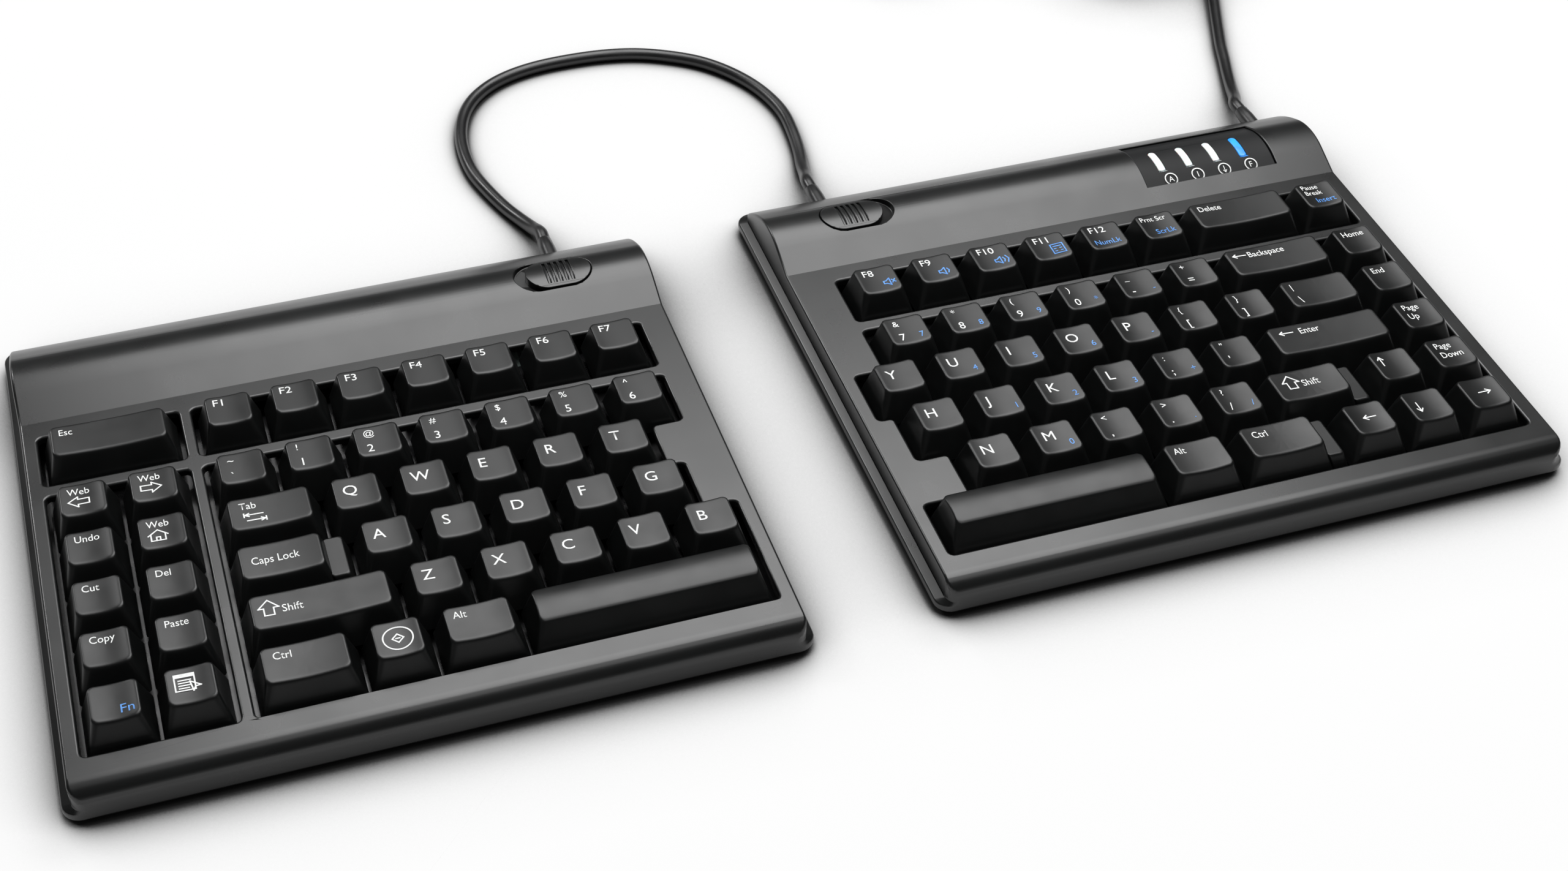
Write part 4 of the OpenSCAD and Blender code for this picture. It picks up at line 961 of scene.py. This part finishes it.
def signShape(name):
    # strokes of even width along each line of a sign
    points, faces = [], []
    half = legends["stroke"] / 2
    for line in signs[name]:
        for (x0, y0), (x1, y1) in zip(line, line[1:]):
            long = math.hypot(x1 - x0, y1 - y0)
            ux, uy = (x1 - x0) / long * half, (y1 - y0) / long * half
            faces.append(tuple(range(len(points), len(points) + 4)))
            points += [(x0 - ux + uy, y0 - uy - ux), (x1 + ux + uy, y1 + uy - ux),
                       (x1 + ux - uy, y1 + uy + ux), (x0 - ux - uy, y0 - uy + ux)]
    return np.array(points), faces


def markShape(mark, wide, deep):
    # flat shape of a mark, from the top's rear left corner
    text, *rest = (mark, "word") if isinstance(mark, str) else mark
    if text in signs:
        points, faces = signShape(text)
        return points + (rest[0], -rest[1]), faces, text in blueSigns
    if rest[0] in legends["styles"]:
        height, narrow, x, y = legends["styles"][rest[0]]
    else:
        x, y, height = rest
        narrow = legends["narrow"]
    points, faces = textShape(text, height, narrow)
    if rest[0] in ("sub", "wideSub"):
        return points + (wide - x - points[:, 0].max(), -deep + y), faces, True
    return points + (x, -y - height), faces, False


def printLegends():
    inset = caps["gap"] / 2 + caps["sideInset"]
    rear = capReach - caps["rearInset"]
    deep = rear + capReach - caps["frontInset"]
    for node, marks in keyMarks.items():
        shapes, inks = [], []
        for (x, y, width, raisedWidth), keyMark in zip(eachKey(node), marks):
            left = -width * caps["pitch"] / 2
            right = left + raisedWidth * caps["pitch"]
            top = topShape(left, right, False)
            for mark in keyMark:
                flat, faces, blue = markShape(mark, right - left - 2 * inset, deep)
                flat = flat + (left + inset, rear)
                height = top(flat[:, 0], flat[:, 1]) + legends["lift"]
                shapes.append((withHeight(flat + (x, y), height), faces))
                inks += [int(blue)] * len(faces)
        piece = addPiece(node + "_print", *joined(shapes), whiteInk, blueInk)
        piece.data.polygons.foreach_set("material_index", inks)
        dress(piece, bodyOf[node], "key_plastic")


printLegends()
print("legends printed:", len(keyMarks), "nodes")


# Covers: the CAD shapes with their edges softened as a mould leaves them
def edgeHeights(edge):
    return [v.co.z / mm for v in edge.verts]


def rimEdge(low):
    # picks the edges that reach above a height
    return lambda edge, angle: angle > 50 and max(edgeHeights(edge)) > low


def addCovers(side):
    low, high = [(halves[side][0] + x) * mm for x in covers["sides"][side]]
    near = (covers["corner"] + 0.1) * mm

    def facesOut(edge):
        # edge of the outer wall, which looks away from the middle of the half
        middle = sum((v.co for v in edge.verts), Vector()) / 2
        if low + near < middle.x < high - near:
            return False
        away = middle.x - (low + high) / 2
        return any(abs(face.normal.z) < 0.05 and face.normal.x * away > 0 for face in edge.link_faces)

    def coverEdge(edge, angle):
        heights = edgeHeights(edge)
        if angle > 30 and min(heights) > covers["split"] + 1 and facesOut(edge):
            return 1
        if angle > 60 and all(abs(z - covers["deck"]) < 0.02 for z in heights):
            return covers["wellShare"]
        upright = any(abs(face.normal.z) < 0.05 for face in edge.link_faces)
        if angle > 50 and upright and min(heights) > covers["deck"] + 1.5:
            return covers["recessShare"]
        return 0

    def lipEdge(edge, angle):
        heights = edgeHeights(edge)
        return angle > 20 and any(all(abs(z - lip) < 0.02 for z in heights) for lip in covers["lip"])

    # faces of the latch's track, its floor and walls, which are painted black as shade
    def takesPaintedShade(face):
        inside = all(min(c[i] for c in box) < face.center[i] < max(c[i] for c in box) for i in (0, 1))
        square = face.normal.z > 0.99 or abs(face.normal.z) < 0.05
        return inside and square and covers["track"][0] < face.center.z / mm < covers["track"][1]

    top = mergedCopy(side + "_top_cover", side + "_upper_shell", caseFinish, feetAndShadeFinish)
    softenEdges(top, coverEdge, covers["edge"], 5, 20)
    box = [Vector(c) for c in frame["nodes"][side + "_latch_slider"].bound_box]
    for face in top.data.polygons:
        if takesPaintedShade(face):
            face.material_index = 1  # painted shade: the latch's track, floor and walls, gets the dead black foot rubber
    dress(top, "case", "case_plastic", side + "_top_cover")
    base = mergedCopy(side + "_bottom_cover", side + "_lower_shell", caseFinish)
    softenEdges(base, lipEdge, covers["lipEdge"], 3, 20)
    dress(base, "case", "case_plastic", side + "_bottom_cover")
    slider = mergedCopy(side + "_latch_slider", side + "_latch_button", caseFinish)
    softenEdges(slider, rimEdge(covers["button"]), covers["buttonEdge"], 2, 25)
    dress(slider, side + "_latch", "case_plastic", side + "_latch_slider")


addCovers("left")
addCovers("right")
print("covers finished")

# Indicator window on the right hump, its light pipes and the printed rings before them
indicators = {
    "lightX": (129.5, 139.35, 149.2, 159.05), "iconX": (131.0, 140.7, 150.4, 160.1), "iconY": 51.3,
    "ring": 2.05, "glyph": 1.9, "signShare": 0.6, "signs": ("A", "1", "pointDown", "F"),
    "crease": 42.275, "apexY": 59.917, "apexZ": 18.4, "humpRadius": 22.0, "humpAngle": 22.0, "recess": 0.7,
    "windowRim": 14.5, "windowEdge": 0.15, "lightRim": 13.0, "lightEdge": 0.35,
}


def windowHeight(y):
    # height of the window's face at a distance behind the right half's place
    angle = math.radians(indicators["humpAngle"])
    radius, recess = indicators["humpRadius"], indicators["recess"]
    behind = y - indicators["apexY"]
    slope = covers["deck"] + (y - indicators["crease"]) * math.tan(angle) - recess / math.cos(angle)
    crown = indicators["apexZ"] - radius + np.sqrt(np.maximum(0, (radius - recess) ** 2 - behind ** 2))
    return np.where(behind < -radius * math.sin(angle), slope, crown)


def addIndicators():
    window = mergedCopy("indicator_window", "window_panel", windowFinish)
    softenEdges(window, rimEdge(indicators["windowRim"]), indicators["windowEdge"], 2, 20)
    dress(window, "case", "window_plastic", "indicator_window")
    between = (halves["right"][0] + (indicators["lightX"][2] + indicators["lightX"][3]) / 2) * mm
    for name, finish, keepLeft in (("pale_lights", milky, True), ("lit_light", lit, False)):
        lights = mergedCopy(
            "indicator_lights", name, finish,
            wanted=lambda face: (face.calc_center_median().x < between) == keepLeft)
        softenEdges(lights, rimEdge(indicators["lightRim"]), indicators["lightEdge"], 3, 40)
        dress(lights, "case", "light_plastic", "indicator_lights")
    signs["indicatorRing"] = [circle(indicators["ring"], 24)]
    shapes = []
    for x, sign in zip(indicators["iconX"], indicators["signs"]):
        if sign in signs:
            glyph, glyphFaces = signShape(sign)
            glyph = glyph * indicators["signShare"]
        else:
            glyph, glyphFaces = textShape(sign, indicators["glyph"], 1.0)
            glyph = glyph - (glyph.max(axis=0) + glyph.min(axis=0)) / 2
        for flat, faces in (signShape("indicatorRing"), (glyph, glyphFaces)):
            spot = flat + (x, indicators["iconY"])
            height = windowHeight(spot[:, 1]) + legends["lift"]
            shapes.append((withHeight(spot + halves["right"], height), faces))
    dress(addPiece("window_print", *joined(shapes), whiteInk), "case", "window_plastic")


addIndicators()
print("indicators fitted")

# Finishes of the CAD nodes that stay as they are
plainFinishes = {
    "left_key_frame": frameFinish, "right_key_frame": frameFinish, "left_membrane": film,
    "right_membrane": film, "left_base_plate": plateSteel, "right_base_plate": plateSteel,
    "link_board": laminate, "controller_board": laminate, "rubber_feet": feetAndShadeFinish,
    "case_screws": screwSteel,
}
for node, finish in plainFinishes.items():
    for slot in frame["nodes"][node].material_slots:
        slot.material = finish
print("inner pieces finished")

# Studio: white floor in a dim room, a large softbox above and behind, a weak fill and a small left lamp
studio = {
    "floor": "#d8d8d8",
    "size": 10000.0,  # half of the floor's width
    "white": 0.92,  # share of plain white in the floor as it is seen, straight or in a reflection
    "shadow": {"reach": 40.0, "from": 0.55, "to": 0.95},  # painted contact shadow: its reach, and the open shares of sky that it spans
    "lamps": {  # in metres and watts
        "softbox": {
            "place": (0.25, 0.52, 1.0), "aim": (0.25, 0.52, 0.0), "wide": 0.96, "deep": 1.04, "power": 19.2},
        "fill": {
            "place": (0.25, -0.28, 1.0), "aim": (0.25, -0.28, 0.0), "wide": 0.96, "deep": 0.55, "power": 2.6},
        "strip": {
            "place": (-0.76, 1.2, 0.93), "aim": (0.0, 0.0, 0.0), "wide": 0.3, "deep": 0.3, "power": 5.7},
    },
    "horizon": 0.06,
    "zenith": 0.14,
}


def addLamp(name):
    values = studio["lamps"][name]
    data = bpy.data.lights.new(name, "AREA")
    data.shape = "RECTANGLE"
    data.size = values["wide"]
    data.size_y = values["deep"]
    data.energy = values["power"]
    lamp = stand(name, data)
    lamp.location = values["place"]
    heading = Vector(values["aim"]) - Vector(values["place"])
    lamp.rotation_euler = heading.to_track_quat("-Z", "Y").to_euler()
    lamp.visible_camera = False


def addFloor():
    size, shadow = studio["size"], studio["shadow"]
    paper = bpy.data.materials.new("white_paper")
    corners = [(-size, -size, 0), (size, -size, 0), (size, size, 0), (-size, size, 0)]
    addPiece("floor", corners, [(0, 1, 2, 3)], paper)
    paper.use_nodes = True
    tree = paper.node_tree
    tree.nodes.remove(tree.nodes["Principled BSDF"])
    matt = addNode(tree, "ShaderNodeBsdfDiffuse", {"Color": linear(studio["floor"])}).outputs[0]
    # painted contact shadow: the floor's white is darkened near the object by ambient occlusion, not by the
    # lamps
    sky = addNode(tree, "ShaderNodeAmbientOcclusion", {"Distance": shadow["reach"] * mm}).outputs["AO"]
    level = addNode(tree, "ShaderNodeMapRange", {
        "Value": sky, "From Min": shadow["from"], "From Max": shadow["to"]})
    white = addNode(tree, "ShaderNodeEmission", {"Strength": level.outputs["Result"]}).outputs[0]
    path = addNode(tree, "ShaderNodeLightPath").outputs
    clear = addNode(tree, "ShaderNodeMath", {
        0: path["Is Camera Ray"], 1: path["Is Transmission Ray"]}, operation="MAXIMUM").outputs[0]
    seen = addNode(tree, "ShaderNodeMath", {
        0: clear, 1: path["Is Glossy Ray"]}, operation="MAXIMUM").outputs[0]
    share = addNode(tree, "ShaderNodeMath", {0: seen, 1: studio["white"]}, operation="MULTIPLY").outputs[0]
    mix = addNode(tree, "ShaderNodeMixShader", {0: share, 1: matt, 2: white})
    tree.links.new(mix.outputs[0], tree.nodes["Material Output"].inputs["Surface"])


def addRoom():
    # grey room that is darker near the horizon
    world = bpy.data.worlds.new("room")
    scene.world = world
    world.use_nodes = True
    tree = world.node_tree
    dim = tree.nodes["Background"]
    place = addNode(tree, "ShaderNodeTexCoord").outputs["Generated"]
    height = addNode(tree, "ShaderNodeSeparateXYZ", {"Vector": place}).outputs["Z"]
    level = addNode(tree, "ShaderNodeMapRange", {
        "Value": height, "From Min": 0.0, "From Max": 0.7, "To Min": studio["horizon"],
        "To Max": studio["zenith"]})
    tree.links.new(level.outputs["Result"], dim.inputs["Strength"])
    dim.inputs["Color"].default_value = (1, 1, 1, 1)


addFloor()
addRoom()
for name in studio["lamps"]:
    addLamp(name)
print("studio lit")
